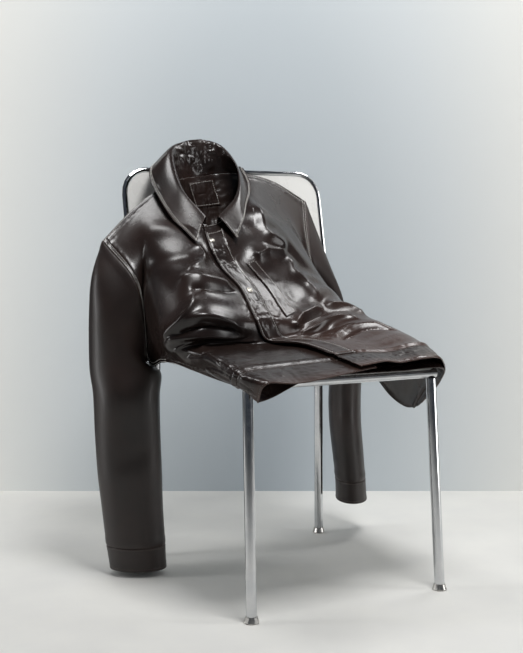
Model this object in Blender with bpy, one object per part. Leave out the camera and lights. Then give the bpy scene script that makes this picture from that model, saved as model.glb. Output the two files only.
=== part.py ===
"""A leather shirt jacket laid over a tubular steel chair, as closed solids at real size.

Metres, +Z up.  The chair frame that every table uses has x = 0 midway between the front feet, y = 0 at
the front feet with +Y towards the backrest, and z = 0 on the floor.  At the end everything moves sideways so
that the middle of its footprint is the origin.  Left and right are the viewer's, looking along +Y.

The jacket is cut as panels.  Each panel is a grid read from a net: one row of the net is a section of the
jacket, from the hem (row 0) to the shoulders (row 8), and its columns run from the left side seam across
the centre front to the right side seam.  Panels share the points of their seams and stand a small gap apart
there.
"""

import math

import bpy
import numpy as np

# ---------------------------------------------------------------- cloth
LEATHER = 0.0020  # thickness of one layer
SEAM_GAP = 0.0006  # between pieces that meet at a seam
LAYER = 0.0028  # from the middle of one layer to the middle of the next one lying on it
PLACKET_WIDTH = 0.046
PATCH = 0.0012  # thickness of the thin pieces sewn onto a panel
PATCH_GAP = 0.0005  # between a panel and a piece lying on it
APART = 0.006  # least distance between the front and the back away from their seams
LOWER_GAP = 0.009  # how far the open lower front stands off the layer under it

# ---------------------------------------------------------------- chair
SEAT_TOP = 0.4405
SEAT_SHEET = 0.003
SEAT_HALF_WIDTH = 0.2095
RAIL_RADIUS = 0.010
THIN_RAIL_RADIUS = 0.005  # the side rails and the back one
RAIL_HALF_WIDTH = 0.2005
SIDE_RAIL_X = 0.190
RAIL_FRONT_Y = 0.028
RAIL_BACK_Y = 0.465
FRONT_FOOT = (0.2075, 0.0)
BACK_FOOT = (0.2120, 0.479)
GLIDE_HEIGHT = 0.012
GLIDE_RADIUS = 0.0145
BACKREST_FOOT_Y = 0.459  # front face of the backrest where it would meet z = 0.43
BACKREST_LEAN = 0.208  # metres back for each metre up
BACKREST_TOP = 0.8395
BACKREST_HALF_WIDTH = 0.2415
BACKREST_CORNER = 0.055
BACKREST_TUBE = 0.0055
BACKREST_SHEET = 0.005
BACKREST_SHEET_BOTTOM = 0.575
TOUCH = 0.0004  # gap between metal pieces that touch

# ---------------------------------------------------------------- tables
# The front, a row for each section: its points (x, y, z) at the left side seam, the left chest, left of the
# centre, the centre front, right of the centre, the right ridge and the right side seam.
FRONT_SECTIONS = (
    ((-0.196, -0.004, 0.399), (-0.190, -0.030, 0.435), (-0.110, -0.027, 0.433), (0.030, -0.022, 0.450),
     (0.100, -0.022, 0.458), (0.199, -0.012, 0.455), (0.236, 0.105, 0.356)),
    ((-0.2140, 0.029, 0.4215), (-0.224, 0.012, 0.451), (-0.107, 0.038, 0.456), (0.018, 0.045, 0.462),
     (0.100, 0.030, 0.472), (0.208, 0.042, 0.471), (0.245, 0.140, 0.342)),
    ((-0.2205, 0.130, 0.429), (-0.238, 0.098, 0.475), (-0.130, 0.115, 0.476), (-0.010, 0.115, 0.478),
     (0.080, 0.110, 0.492), (0.206, 0.125, 0.494), (0.256, 0.195, 0.334)),
    ((-0.236, 0.200, 0.439), (-0.244, 0.172, 0.478), (-0.140, 0.185, 0.486), (-0.060, 0.175, 0.487),
     (0.040, 0.190, 0.497), (0.190, 0.212, 0.516), (0.258, 0.255, 0.350)),
    ((-0.247, 0.265, 0.447), (-0.276, 0.215, 0.488), (-0.215, 0.165, 0.528), (-0.085, 0.190, 0.530),
     (0.020, 0.215, 0.530), (0.155, 0.280, 0.550), (0.250, 0.310, 0.392)),
    ((-0.243, 0.330, 0.440), (-0.276, 0.275, 0.550), (-0.212, 0.212, 0.598), (-0.088, 0.250, 0.585),
     (0.010, 0.285, 0.598), (0.138, 0.358, 0.610), (0.220, 0.352, 0.455)),
    ((-0.254, 0.375, 0.440), (-0.273, 0.332, 0.610), (-0.200, 0.285, 0.650), (-0.108, 0.300, 0.632),
     (-0.015, 0.330, 0.672), (0.112, 0.405, 0.688), (0.190, 0.416, 0.535)),
    ((-0.285, 0.350, 0.590), (-0.250, 0.388, 0.700), (-0.172, 0.360, 0.710), (-0.118, 0.348, 0.700),
     (-0.010, 0.392, 0.745), (0.102, 0.448, 0.742), (0.160, 0.436, 0.660)),
    ((-0.333, 0.422, 0.684), (-0.248, 0.456, 0.755), (-0.156, 0.484, 0.809), (-0.051, 0.536, 0.829),
     (0.022, 0.508, 0.833), (0.109, 0.520, 0.819), (0.194, 0.518, 0.775)),
)
# The back panel's middle for each of the same rows, and how far it lies open to the left and the right.  The
# back armholes' edge points follow, for its last row.
BACK_SECTIONS = (
    # y, z, left x, right x, drop of the left end, drop of the right end
    (-0.004, 0.4395, -0.1720, 0.2090, 0.031, 0.004),
    (0.030, 0.4445, -0.2145, 0.2140, 0.000, 0.000),
    (0.145, 0.4440, -0.2150, 0.2140, 0.000, 0.000),
    (0.235, 0.4520, -0.2160, 0.2120, 0.004, 0.004),
    (0.325, 0.4860, -0.2200, 0.1850, 0.026, 0.020),
    (0.390, 0.5400, -0.2250, 0.1600, 0.050, 0.030),
    (0.450, 0.6050, -0.2350, 0.1500, 0.060, 0.010),
    (0.504, 0.7200, -0.2450, 0.1550, 0.065, -0.010),
)
BACK_ARMHOLE = (
    # side, x, y, z
    (-1, -0.300, 0.440, 0.580),
    (1, 0.208, 0.468, 0.655),
)
END_LEAN = 0.35  # how far a dropped end of the back comes forward, for each metre it drops
NECK_DEPTH = 0.86  # how many rows the neck is cut down at the centre front

# Sleeves hang from the armholes.  Each row is a ring: its middle, half its width across, half its depth, and
# how much its outer side stands above its inner side for each metre across.
LEFT_SLEEVE_RINGS = (
    # x, y, z, across, deep, slope
    (-0.309, 0.402, 0.515, 0.054, 0.048, 1.50),
    (-0.298, 0.394, 0.430, 0.072, 0.050, 0.20),
    (-0.299, 0.384, 0.370, 0.067, 0.052, 0.05),
    (-0.297, 0.384, 0.290, 0.066, 0.048, 0.00),
    (-0.294, 0.382, 0.210, 0.065, 0.046, 0.00),
    (-0.290, 0.380, 0.140, 0.062, 0.044, 0.00),
    (-0.285, 0.377, 0.070, 0.060, 0.042, 0.00),
    (-0.280, 0.375, 0.012, 0.057, 0.040, 0.00),
)
RIGHT_SLEEVE_RINGS = (
    # x, y, z, across, deep, slope
    (0.2160, 0.4282, 0.5661, 0.0105, 0.0253, 1.57),
    (0.2296, 0.4096, 0.5028, 0.0146, 0.0387, -0.14),
    (0.256, 0.420, 0.430, 0.033, 0.052, 0.10),
    (0.258, 0.440, 0.350, 0.036, 0.066, 0.00),
    (0.262, 0.446, 0.270, 0.036, 0.074, 0.00),
    (0.269, 0.443, 0.190, 0.035, 0.070, 0.00),
    (0.274, 0.441, 0.135, 0.034, 0.066, 0.00),
    (0.277, 0.440, 0.083, 0.035, 0.062, 0.00),
)
SLEEVE_TURN = math.radians(27)  # the sleeves' flat sides face this far round from +Y
CUFF_LENGTH = 0.050
COLLAR_REST = 0.0055  # from the middle of the chest's layer to the middle of the collar lying on it

# The collar from the right front end round the nape to the left front end: where it rolls over (t) and its
# free edge (e).
COLLAR_SECTIONS = (
    # tx, ty, tz,   ex, ey, ez
    (-0.104, 0.352, 0.733, -0.078, 0.318, 0.688),
    (-0.036, 0.404, 0.783, -0.036, 0.368, 0.737),
    (0.000, 0.478, 0.843, 0.024, 0.470, 0.797),
    (-0.011, 0.530, 0.889, 0.026, 0.564, 0.866),
    (-0.046, 0.547, 0.905, -0.035, 0.582, 0.868),
    (-0.096, 0.541, 0.899, -0.108, 0.580, 0.870),
    (-0.147, 0.498, 0.873, -0.198, 0.502, 0.834),
    (-0.162, 0.415, 0.795, -0.206, 0.405, 0.755),
    (-0.131, 0.360, 0.733, -0.175, 0.312, 0.674),
)

# Folds raised from (or, with a negative height, pressed into) a panel.  Each runs from one place on its net
# to another and bows sideways by `bow` of its length.
FRONT_FOLDS = (
    # name, column 0, row 0, column 1, row 1, bow, width, height
    ("right chest ridge, upper", 3.70, 7.05, 4.60, 6.30, 0.05, 0.026, 0.011),
    ("right chest ridge, lower", 4.60, 6.30, 3.30, 5.90, 0.05, 0.024, 0.009),
    ("right chest hollow", 3.70, 6.75, 4.30, 6.30, 0.00, 0.022, -0.007),
    ("right side ridge", 4.60, 6.30, 4.90, 5.00, -0.10, 0.020, 0.009),
    ("right belly ridge", 4.00, 4.20, 5.40, 4.35, 0.08, 0.016, 0.008),
    ("right pinch", 4.20, 5.10, 4.90, 4.60, 0.00, 0.014, 0.007),
    ("left armhole to centre", 0.60, 6.40, 2.30, 6.15, -0.12, 0.018, -0.008),
    ("left chest ridge", 0.80, 6.90, 2.20, 6.60, 0.10, 0.022, 0.008),
    ("left belly ridge", 1.00, 4.30, 2.60, 3.95, 0.10, 0.020, 0.008),
    ("left belly crease", 0.80, 3.65, 2.60, 3.35, -0.06, 0.016, -0.007),
    ("left lower ridge", 0.80, 3.20, 2.50, 2.95, 0.05, 0.016, 0.005),
    ("left lower hollow", 1.00, 2.40, 2.40, 2.20, 0.10, 0.018, -0.005),
    ("right lower ridge", 3.60, 2.60, 5.10, 2.70, 0.06, 0.018, 0.006),
    ("right lower hollow", 3.70, 1.90, 5.00, 2.10, -0.06, 0.018, -0.005),
)
SLEEVE_FOLDS = (
    # name, turn 0, row 0, turn 1, row 1, bow, width, height (turn 0 is the underarm, 0.25 the front)
    ("front crease", 0.22, 0.8, 0.18, 3.0, 0.05, 0.020, 0.006),
    ("elbow hollow", 0.10, 4.2, 0.34, 4.6, 0.10, 0.018, -0.006),
    ("elbow ridge", 0.10, 4.9, 0.36, 5.2, -0.10, 0.018, 0.005),
    ("outer hollow", 0.36, 1.6, 0.40, 4.0, 0.00, 0.022, -0.005),
    ("rear hollow", 0.70, 1.2, 0.78, 3.6, 0.05, 0.022, -0.006),
    ("cap ridge", 0.34, 0.4, 0.42, 1.6, 0.05, 0.020, 0.005),
)

# Thin pieces sewn onto a panel: the net places of their four corners, clockwise from the one nearest the
# neck's left side.
CHEST_WELT = ((3.44, 6.20), (3.66, 6.05), (3.85, 4.15), (3.59, 4.02))
NECK_LABEL = ((2.46, 7.88), (3.17, 7.90), (3.28, 7.38), (2.59, 7.33))
SNAPS = (
    # name, column, row, radius
    ("snap_placket", 2.97, 4.94, 0.0072),
    ("snap_neck", 2.86, 7.55, 0.0060),
)
SNAP_HEIGHT = 0.0022

# Where the grid lines of the body lie: net columns, then net rows.
ACROSS = (0, 0.3, 0.6, 0.85, 1.1, 1.35, 1.65, 2, 2.25, 2.5, 2.75, 2.875, 3, 3.125, 3.25,
          3.5, 3.75, 4, 4.3, 4.6, 4.85, 5.1, 5.4, 5.7, 6)
HEM_ROWS = (0, 0.33, 0.67, 1)
BODY_ROWS = (1.45, 1.9, 2.35, 2.75, 3.1, 3.45, 3.8, 4.15, 4.55, 5, 5.5, 6)
ARM_ROWS = (6.25, 6.5, 6.75, 7, 7.2, 7.4, 7.6, 7.8, 8)
COLUMN_KNOTS = (0, 1, 2, 2.75, 3, 3.25, 4, 5, 6)
PLACKET_EDGES = (2.75, 3.25)
UNDERARM_ROW = 6
NECK_COLUMNS = (2, 4)

LEATHER_COLOUR = (0.022, 0.015, 0.013, 1)
SNAP_COLOUR = (0.36, 0.35, 0.34, 1)
STEEL_COLOUR = (0.62, 0.62, 0.63, 1)
PANEL_COLOUR = (0.80, 0.79, 0.77, 1)


# ---------------------------------------------------------------- curves and nets
def unit(vectors):
    return vectors / np.maximum(np.linalg.norm(vectors, axis=-1, keepdims=True), 1e-12)


def smooth_step(t):
    t = np.clip(t, 0, 1)
    return t * t * (3 - 2 * t)


def spline_weights(knots, t):
    """How much each knot's point counts at each t, on a smooth curve that passes through all the knots."""
    knots = np.asarray(knots, float)
    t = np.asarray(t, float)
    steps = np.diff(knots)
    points = np.eye(len(knots))
    slopes = np.diff(points, axis=0) / steps[:, None]
    tangents = np.empty_like(points)
    tangents[0] = slopes[0]
    tangents[-1] = slopes[-1]
    before, after = steps[:-1, None], steps[1:, None]
    tangents[1:-1] = (slopes[:-1] * after + slopes[1:] * before) / (before + after)
    i = np.clip(np.searchsorted(knots, t, side="right") - 1, 0, len(knots) - 2)
    step = steps[i][..., None]
    f = ((t - knots[i]) / steps[i])[..., None]
    return (
        (1 + 2 * f) * (1 - f) ** 2 * points[i]
        + f * (1 - f) ** 2 * step * tangents[i]
        + f * f * (3 - 2 * f) * points[i + 1]
        + f * f * (f - 1) * step * tangents[i + 1]
    )


def on_net(net, columns, rows, u, v):
    """The points of a net of sections at columns u and rows v."""
    u, v = np.broadcast_arrays(np.asarray(u, float), np.asarray(v, float))
    across = spline_weights(columns, u)
    along = spline_weights(rows, v)
    return np.einsum("...i,...j,ijk->...k", along, across, net)


def with_placket_columns(sections):
    """A net of seven columns with two more, half a placket's width either side of the centre front."""
    centre = sections[:, 3]
    aside = unit(sections[:, 4] - sections[:, 2]) * PLACKET_WIDTH / 2
    return np.concatenate(
        [
            sections[:, :3],
            np.stack([centre - aside, centre, centre + aside], axis=1),
            sections[:, 4:],
        ],
        axis=1,
    )


def front_net():
    return with_placket_columns(np.array(FRONT_SECTIONS))


def back_net(front):
    """The back's net.  It shares the front's side seams and its shoulders."""
    sections = np.empty((len(BACK_SECTIONS), 7, 3))
    for row, (y, z, left, right, left_drop, right_drop) in enumerate(BACK_SECTIONS):
        sections[row, 1:6, 0] = np.linspace(left, right, 5)
        sections[row, 1:6, 1] = y
        sections[row, 1:6, 2] = z
        for column, drop in ((1, left_drop), (5, right_drop)):
            sections[row, column, 1] -= drop * END_LEAN
            sections[row, column, 2] -= drop
        sections[row, 0] = front[row, 0]
        sections[row, 6] = front[row, -1]
    for side, *place in BACK_ARMHOLE:
        sections[-1, 0 if side < 0 else 6] = place
    return np.concatenate([with_placket_columns(sections), front[-1:]], axis=0)


def neck_row(u):
    """The row at which the front ends: the shoulders, and the neck's curve between them."""
    middle = sum(NECK_COLUMNS) / 2
    inside = 1 - np.clip(np.abs(u - middle) / (NECK_COLUMNS[1] - middle), 0, 1) ** 2
    return len(FRONT_SECTIONS) - 1 - NECK_DEPTH * np.sqrt(inside)


def grid_normals(points, wrapped=False):
    """Unit normals of a grid.  A wrapped grid closes round its columns."""
    if wrapped:
        along_columns = np.roll(points, -1, axis=1) - np.roll(points, 1, axis=1)
    else:
        along_columns = np.gradient(points, axis=1)
    return unit(np.cross(along_columns, np.gradient(points, axis=0)))


def fold_heights(points, place, folds):
    """The height of all folds at each point.  `place(u, v)` gives the points of a fold's own line."""
    total = np.zeros(points.shape[:2])
    along = np.linspace(0, 1, 13)
    for _, u0, v0, u1, v1, bow, width, height in folds:
        bend = bow * 4 * along * (1 - along)
        line = place(u0 + (u1 - u0) * along - bend * (v1 - v0), v0 + (v1 - v0) * along + bend * (u1 - u0))
        far = np.linalg.norm(points[:, :, None] - line, axis=-1)
        nearest = far.argmin(axis=-1)
        fade = np.sin(math.pi * np.clip(along[nearest], 0.04, 0.96)) ** 0.7
        total += height * fade * np.exp(-((far.min(axis=-1) / width) ** 2))
    return total


# ---------------------------------------------------------------- panels
def square_to_edge(edge, inside):
    along = unit(np.gradient(edge, axis=0))
    into = inside - edge
    return unit(into - along * np.sum(into * along, axis=-1, keepdims=True))


class Panel:
    """A grid of points with a normal at each, which becomes one wall.

    `side` is -1 on the collar, which folds over: at its seam its normals point in, and at its edge out.
    """

    def __init__(self, name, points, wrapped=False, normals=None, half=LEATHER / 2, side=1):
        self.name = name
        self.points = points
        self.wrapped = wrapped
        self.normals = grid_normals(points, wrapped) if normals is None else normals
        self.half = half
        self.side = side

    def inward(self):
        """At each edge point, the direction into the panel square to its edge; zero elsewhere."""
        into = np.zeros_like(self.points)
        into[0] += square_to_edge(self.points[0], self.points[1])
        into[-1] += square_to_edge(self.points[-1], self.points[-2])
        if not self.wrapped:
            into[:, 0] += square_to_edge(self.points[:, 0], self.points[:, 1])
            into[:, -1] += square_to_edge(self.points[:, -1], self.points[:, -2])
        return unit(into) * (np.linalg.norm(into, axis=-1, keepdims=True) > 0)


def part_seams(panels):
    """Gives panels that share a seam the same normal along it, and moves each back from it."""
    shared = {}
    inwards = [panel.inward() for panel in panels]
    for index, panel in enumerate(panels):
        for place in zip(*np.nonzero(np.linalg.norm(inwards[index], axis=-1) > 0)):
            key = tuple(np.round(panel.points[place] / 1e-6).astype(int))
            shared.setdefault(key, []).append((index, place))
    for users in shared.values():
        if len({index for index, _ in users}) < 2:
            continue
        total = sum(panels[index].side * panels[index].normals[place] for index, place in users)
        into = [inwards[index][place] for index, place in users]
        middle = np.mean(into, axis=0)
        normal = unit(total + math.copysign(len(users), np.dot(total, middle)) * middle)
        for (index, place), direction in zip(users, into):
            panels[index].normals[place] = panels[index].side * normal
            panels[index].points[place] += unit(direction - middle) * SEAM_GAP / 2


def material(name, colour, roughness, metallic):
    made = bpy.data.materials.new(name)
    made.use_nodes = True
    shader = made.node_tree.nodes["Principled BSDF"]
    shader.inputs["Base Color"].default_value = colour
    shader.inputs["Roughness"].default_value = roughness
    shader.inputs["Metallic"].default_value = metallic
    made.diffuse_color = colour
    return made


def signed_volume(vertices, faces):
    total = 0.0
    for face in faces:
        a, b = vertices[face[0]], vertices[face[1]]
        for c, d in zip(face[1:-1], face[2:]):
            total += np.dot(a, np.cross(vertices[c], vertices[d]))
    return total


def add_solid(name, vertices, faces, look):
    vertices = np.asarray(vertices, float)
    if signed_volume(vertices, faces) < 0:
        faces = [face[::-1] for face in faces]
    mesh = bpy.data.meshes.new(name)
    mesh.from_pydata(vertices.tolist(), [], [tuple(int(i) for i in face) for face in faces])
    mesh.materials.append(look)
    mesh.shade_smooth()
    mesh.set_sharp_from_angle(angle=math.radians(50))
    solid = bpy.data.objects.new(name, mesh)
    bpy.context.scene.collection.objects.link(solid)
    return solid


def add_wall(panel, look):
    """The closed wall round a panel's grid, half its thickness to each side."""
    rows, columns = panel.points.shape[:2]
    outer = (panel.points + panel.normals * panel.half).reshape(-1, 3)
    inner = (panel.points - panel.normals * panel.half).reshape(-1, 3)
    count = rows * columns
    number = np.arange(count).reshape(rows, columns)
    if panel.wrapped:
        number = np.concatenate([number, number[:, :1]], axis=1)
    faces = []
    for i in range(rows - 1):
        for j in range(number.shape[1] - 1):
            a, b, c, d = number[i, j], number[i, j + 1], number[i + 1, j + 1], number[i + 1, j]
            faces.append((a, b, c, d))
            faces.append((a + count, d + count, c + count, b + count))
    edges = [(number[0], True), (number[-1], False)]
    if not panel.wrapped:
        edges += [(number[:, 0], False), (number[:, -1], True)]
    vertices = np.concatenate([outer, inner])
    for edge, forward in edges:
        for a, b in zip(edge[:-1], edge[1:]):
            c, d = b + count, a + count
            if np.linalg.norm(vertices[a] - vertices[c]) < np.linalg.norm(vertices[b] - vertices[d]):
                halves = [(a, b, c), (a, c, d)]
            else:
                halves = [(a, b, d), (b, c, d)]
            faces += [half[::-1] for half in halves] if forward else halves
    return add_solid(panel.name, vertices, faces, look)


# ---------------------------------------------------------------- the body of the jacket
def body_grid(net, u, v, is_front):
    """The grid of a body panel before folds.  The front's upper rows close up to the neck's curve."""
    u, v = np.meshgrid(u, v)
    if is_front:
        low = 5
        last = len(FRONT_SECTIONS) - 1
        v = np.where(v > low, low + (v - low) * (neck_row(u) - low) / (last - low), v)
    return on_net(net, COLUMN_KNOTS, range(len(net)), u, v)


def seam_fade(u, v):
    """Zero on the side seams, armholes, shoulders and hem, and one away from them."""
    u, v = np.meshgrid(u, v)
    return smooth_step(np.minimum(u, 6 - u) / 0.55) * smooth_step((8 - v) / 0.6) * smooth_step(v / 0.7)


def stand_apart(front, back, v):
    """Moves the front and the back apart beside their seams, wherever they come closer than cloth allows.

    Low down the back rests on the seat, so there it is the front that moves.
    """
    columns = np.arange(front.shape[1])
    from_seam = np.minimum(columns, columns[::-1])
    beside = (1 - smooth_step((from_seam - 2) / 1.5)) * smooth_step((8 - v) / 1.2)[:, None]
    wanted = APART * smooth_step(from_seam)
    facing = grid_normals(back)
    gap = np.einsum("ijk,ijk->ij", front - back, facing)
    push = facing * (np.clip(wanted - gap, 0, 0.03) * beside)[..., None]
    low = (1 - smooth_step((v - 2) / 1.5))[:, None, None]
    return front + push * low, back - push * (1 - low)


def raise_front(u, v):
    """How far the right front lies out from the left one under it, and the body over the hem band."""
    u, v = np.meshgrid(u, v)
    over = 1 - smooth_step((u - PLACKET_EDGES[1]) / 0.75)
    low = 1 - smooth_step((v - 2.4) / 0.9)
    return over * (LAYER + (LOWER_GAP - LAYER) * low)


def make_body():
    """Grids of the front and the back, whose seams match point for point."""
    front = front_net()
    back = back_net(front)
    u = np.array(ACROSS)
    v = np.array(HEM_ROWS + BODY_ROWS + ARM_ROWS)
    front_points = body_grid(front, u, v, True)
    back_points = body_grid(back, u, v, False)
    front_points, back_points = stand_apart(front_points, back_points, v)
    side = v <= UNDERARM_ROW
    back_points[side, 0] = front_points[side, 0]
    back_points[side, -1] = front_points[side, -1]
    armholes = [
        np.concatenate([front_points[~side, edge], back_points[~side, edge][-2::-1]]) for edge in (0, -1)
    ]
    underarms = [front_points[v == UNDERARM_ROW, edge] for edge in (0, -1)]
    armholes = [np.concatenate([low, loop]) for low, loop in zip(underarms, armholes)]
    normals = grid_normals(front_points)

    def place(column, row):
        return on_net(front, COLUMN_KNOTS, range(len(front)), column, row)

    heights = fold_heights(front_points, place, FRONT_FOLDS) * seam_fade(u, v)
    front_points = front_points + normals * heights[..., None]
    return u, v, front_points, normals, back_points, armholes


def read_grid(grid, u, v, columns, rows):
    """A grid's points read between its own lines, at net columns and rows."""
    across = np.interp(columns, u, np.arange(len(u)))
    down = np.interp(rows, v, np.arange(len(v)))
    i = np.clip(down.astype(int), 0, len(v) - 2)
    j = np.clip(across.astype(int), 0, len(u) - 2)
    f = (down - i)[..., None]
    g = (across - j)[..., None]
    upper = grid[i, j] * (1 - g) + grid[i, j + 1] * g
    lower = grid[i + 1, j] * (1 - g) + grid[i + 1, j + 1] * g
    return upper * (1 - f) + lower * f


def make_patch(name, grid, normals, u, v, corners, shape, lift):
    """A thin piece lying on a panel: the panel's points between four places, moved out by `lift`."""
    a, b, c, d = np.array(corners)
    down, across = np.meshgrid(np.linspace(0, 1, shape[0]), np.linspace(0, 1, shape[1]), indexing="ij")
    down = down[..., None]
    across = across[..., None]
    places = (a * (1 - across) + b * across) * (1 - down) + (d * (1 - across) + c * across) * down
    outwards = unit(read_grid(normals, u, v, places[..., 0], places[..., 1]))
    points = read_grid(grid, u, v, places[..., 0], places[..., 1]) + outwards * lift
    return Panel(name, points, normals=outwards, half=PATCH / 2)


def make_panels():
    u, v, front, outwards, back, armholes = make_body()
    lifted = front + outwards * raise_front(u, v)[..., None]
    hem = v <= 1
    body = v >= 1
    left = u <= PLACKET_EDGES[1] - 0.12
    right = u >= PLACKET_EDGES[0]
    panels = {
        "front_left": Panel("front_left", front[body][:, left].copy()),
        "front_right": Panel("front_right", lifted[body][:, right].copy()),
        "hem_band_front_left": Panel("hem_band_front_left", front[hem][:, left].copy()),
        "hem_band_front_right": Panel("hem_band_front_right", lifted[hem][:, right].copy()),
        "back": Panel("back", back[body].copy()),
        "hem_band_back": Panel("hem_band_back", back[hem].copy()),
    }
    for name in ("back", "hem_band_back"):
        panels[name].normals = -panels[name].normals
    for name, loop, rings in (
        ("left", armholes[0], LEFT_SLEEVE_RINGS),
        ("right", armholes[1], RIGHT_SLEEVE_RINGS),
    ):
        sleeve, cuff = make_sleeve(name, loop, rings)
        panels[sleeve.name] = sleeve
        panels[cuff.name] = cuff
    panels["collar"] = make_collar(u, front, lifted, back)
    part_seams(list(panels.values()))
    lift = LEATHER / 2 + PATCH_GAP + PATCH / 2
    facing = grid_normals(lifted)
    strip = (u >= PLACKET_EDGES[0]) & (u <= PLACKET_EDGES[1])
    rows = (v >= 1) & (v < 7.9)
    placket = (lifted + facing * lift)[rows][:, strip]
    panels["placket"] = Panel("placket", placket, normals=facing[rows][:, strip], half=PATCH / 2)
    panels["chest_welt"] = make_patch("chest_welt", lifted, facing, u, v, CHEST_WELT, (14, 4), lift + 0.0009)
    inside = grid_normals(back)
    panels["neck_label"] = make_patch("neck_label", back, inside, u, v, NECK_LABEL, (5, 6), lift + 0.0003)
    snaps = []
    for name, column, row, radius in SNAPS:
        normal = unit(read_grid(facing, u, v, column, row))
        base = read_grid(lifted, u, v, column, row) + normal * (lift + PATCH / 2 + PATCH_GAP)
        snaps.append((name, base, normal, radius))
    return panels, snaps


# ---------------------------------------------------------------- sleeves
def make_sleeve(side, armhole, rings):
    """A tube from the armhole through the rings, cut into the sleeve and its cuff."""
    sign = -1 if side == "left" else 1
    turns = np.arange(len(armhole)) / len(armhole)
    net = [armhole]
    for index, (x, y, z, half_across, half_deep, slope) in enumerate(rings):
        turn = SLEEVE_TURN * min(1, (index + 1) / 2)
        across = np.array([math.cos(turn), -math.sin(turn), 0])
        deep = np.array([math.sin(turn), math.cos(turn), 0])
        out = -np.cos(2 * math.pi * turns) * half_across
        forward = np.sin(2 * math.pi * turns) * half_deep
        ring = np.array([x, y, z]) + sign * out[:, None] * across - forward[:, None] * deep
        ring[:, 2] += out * slope
        net.append(ring)
    net = np.array(net)
    middles = net.mean(axis=1)
    length = np.concatenate([[0], np.cumsum(np.linalg.norm(np.diff(middles, axis=0), axis=1))])
    cuff_start = np.interp(length[-1] - CUFF_LENGTH, length, np.arange(len(net)))
    rows = np.concatenate([np.linspace(0, 2, 8)[:-1], np.linspace(2, cuff_start, 13)])
    cuff_rows = np.linspace(cuff_start, len(net) - 1, 4)

    def tube(at_rows):
        return np.einsum("ri,ijk->rjk", spline_weights(range(len(net)), at_rows), net)

    def place(turn, row):
        looped = np.concatenate([net, net[:, :1]], axis=1)
        return on_net(looped, np.append(turns, 1), range(len(net)), turn, row)

    outward = -sign
    made = []
    for name, at_rows in (("sleeve_" + side, rows), ("cuff_" + side, cuff_rows)):
        points = tube(at_rows)
        normals = grid_normals(points, wrapped=True) * outward
        if name.startswith("sleeve"):
            fade = smooth_step(at_rows / 0.6) * smooth_step((cuff_start - at_rows) / 0.5)
            heights = fold_heights(points, place, SLEEVE_FOLDS) * fade[:, None]
            points = points + normals * heights[..., None]
            normals = grid_normals(points, wrapped=True) * outward
        made.append(Panel(name, points, wrapped=True, normals=normals))
    return made


# ---------------------------------------------------------------- collar
def denser(grid, times=4):
    """The same grid with more lines between its own."""
    rows, columns = grid.shape[:2]
    down = np.linspace(0, rows - 1, (rows - 1) * times + 1)
    across = np.linspace(0, columns - 1, (columns - 1) * times + 1)
    i = np.minimum(down.astype(int), rows - 2)
    j = np.minimum(across.astype(int), columns - 2)
    f = (down - i)[:, None, None]
    g = (across - j)[None, :, None]
    upper = grid[i][:, j] * (1 - g) + grid[i][:, j + 1] * g
    lower = grid[i + 1][:, j] * (1 - g) + grid[i + 1][:, j + 1] * g
    return upper * (1 - f) + lower * f


def lift_off(points, panel, gap, reach=0.02):
    """Moves each point within reach of a panel out, until it is `gap` clear of it."""
    surface = denser(panel).reshape(-1, 3)
    normals = unit(denser(grid_normals(panel))).reshape(-1, 3)
    flat = points.reshape(-1, 3)
    far = np.linalg.norm(flat[:, None] - surface, axis=-1)
    nearest = far.argmin(axis=1)
    depth = np.einsum("ij,ij->i", flat - surface[nearest], normals[nearest])
    short = np.clip(np.broadcast_to(gap, points.shape[:2]).reshape(-1) - depth, 0, None)
    moved = flat + normals[nearest] * (short * (far.min(axis=1) < reach))[:, None]
    return moved.reshape(points.shape)


def make_collar(u, front, lifted, back):
    """One piece from the neck seam up to where it rolls over, and down to its free edge."""
    low, high = NECK_COLUMNS
    middle = sum(NECK_COLUMNS) / 2
    right = (u >= middle + 0.1) & (u <= high)
    left = (u >= low) & (u <= middle - 0.1)
    nape = (u > low) & (u < high)
    ends = (u[right].min(), u[left].max())
    seam = np.concatenate([lifted[-1, right], back[-1, nape][::-1], front[-1, left]])
    place = np.concatenate(
        [
            2 * (u[right] - ends[0]) / (high - ends[0]),
            2 + 2 * (high - u[nape][::-1]),
            6 + 2 * (u[left] - low) / (ends[1] - low),
        ]
    )
    sections = np.array(COLLAR_SECTIONS)
    weights = spline_weights(range(len(sections)), place)
    roll = weights @ sections[:, :3]
    edge = weights @ sections[:, 3:]
    profile = np.stack([seam, roll, edge], axis=0)
    steps = np.array([0, 0.2, 0.35, 0.43, 0.5, 0.57, 0.66, 0.78, 0.9, 1])
    points = np.einsum("ri,ijk->rjk", spline_weights((0, 0.45, 1), steps), profile)
    rest = COLLAR_REST * smooth_step(steps / 0.3)[1:, None]
    for chest in (front, lifted):
        for _ in range(2):
            points[1:] = lift_off(points[1:], chest, rest)
    return Panel("collar", points, normals=-grid_normals(points), side=-1)


# ---------------------------------------------------------------- snaps
def add_snap(name, base, normal, radius, look, sides=20):
    """A snap's cap: a low rounded disc standing on `base`."""
    side = unit(np.cross(normal, [0, 1.0, 0]))
    other = np.cross(normal, side)
    vertices = []
    for part, height in ((0.94, 0.0), (1.0, 0.25), (0.96, 0.6), (0.6, 1.0)):
        for j in range(sides):
            turn = 2 * math.pi * j / sides
            around = side * math.cos(turn) + other * math.sin(turn)
            vertices.append(base + around * radius * part + normal * SNAP_HEIGHT * height)
    faces = [tuple(range(sides))[::-1], tuple(range(3 * sides, 4 * sides))]
    for i in range(3):
        for j in range(sides):
            k = (j + 1) % sides
            faces.append((i * sides + j, i * sides + k, (i + 1) * sides + k, (i + 1) * sides + j))
    return add_solid(name, vertices, faces, look)


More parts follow.
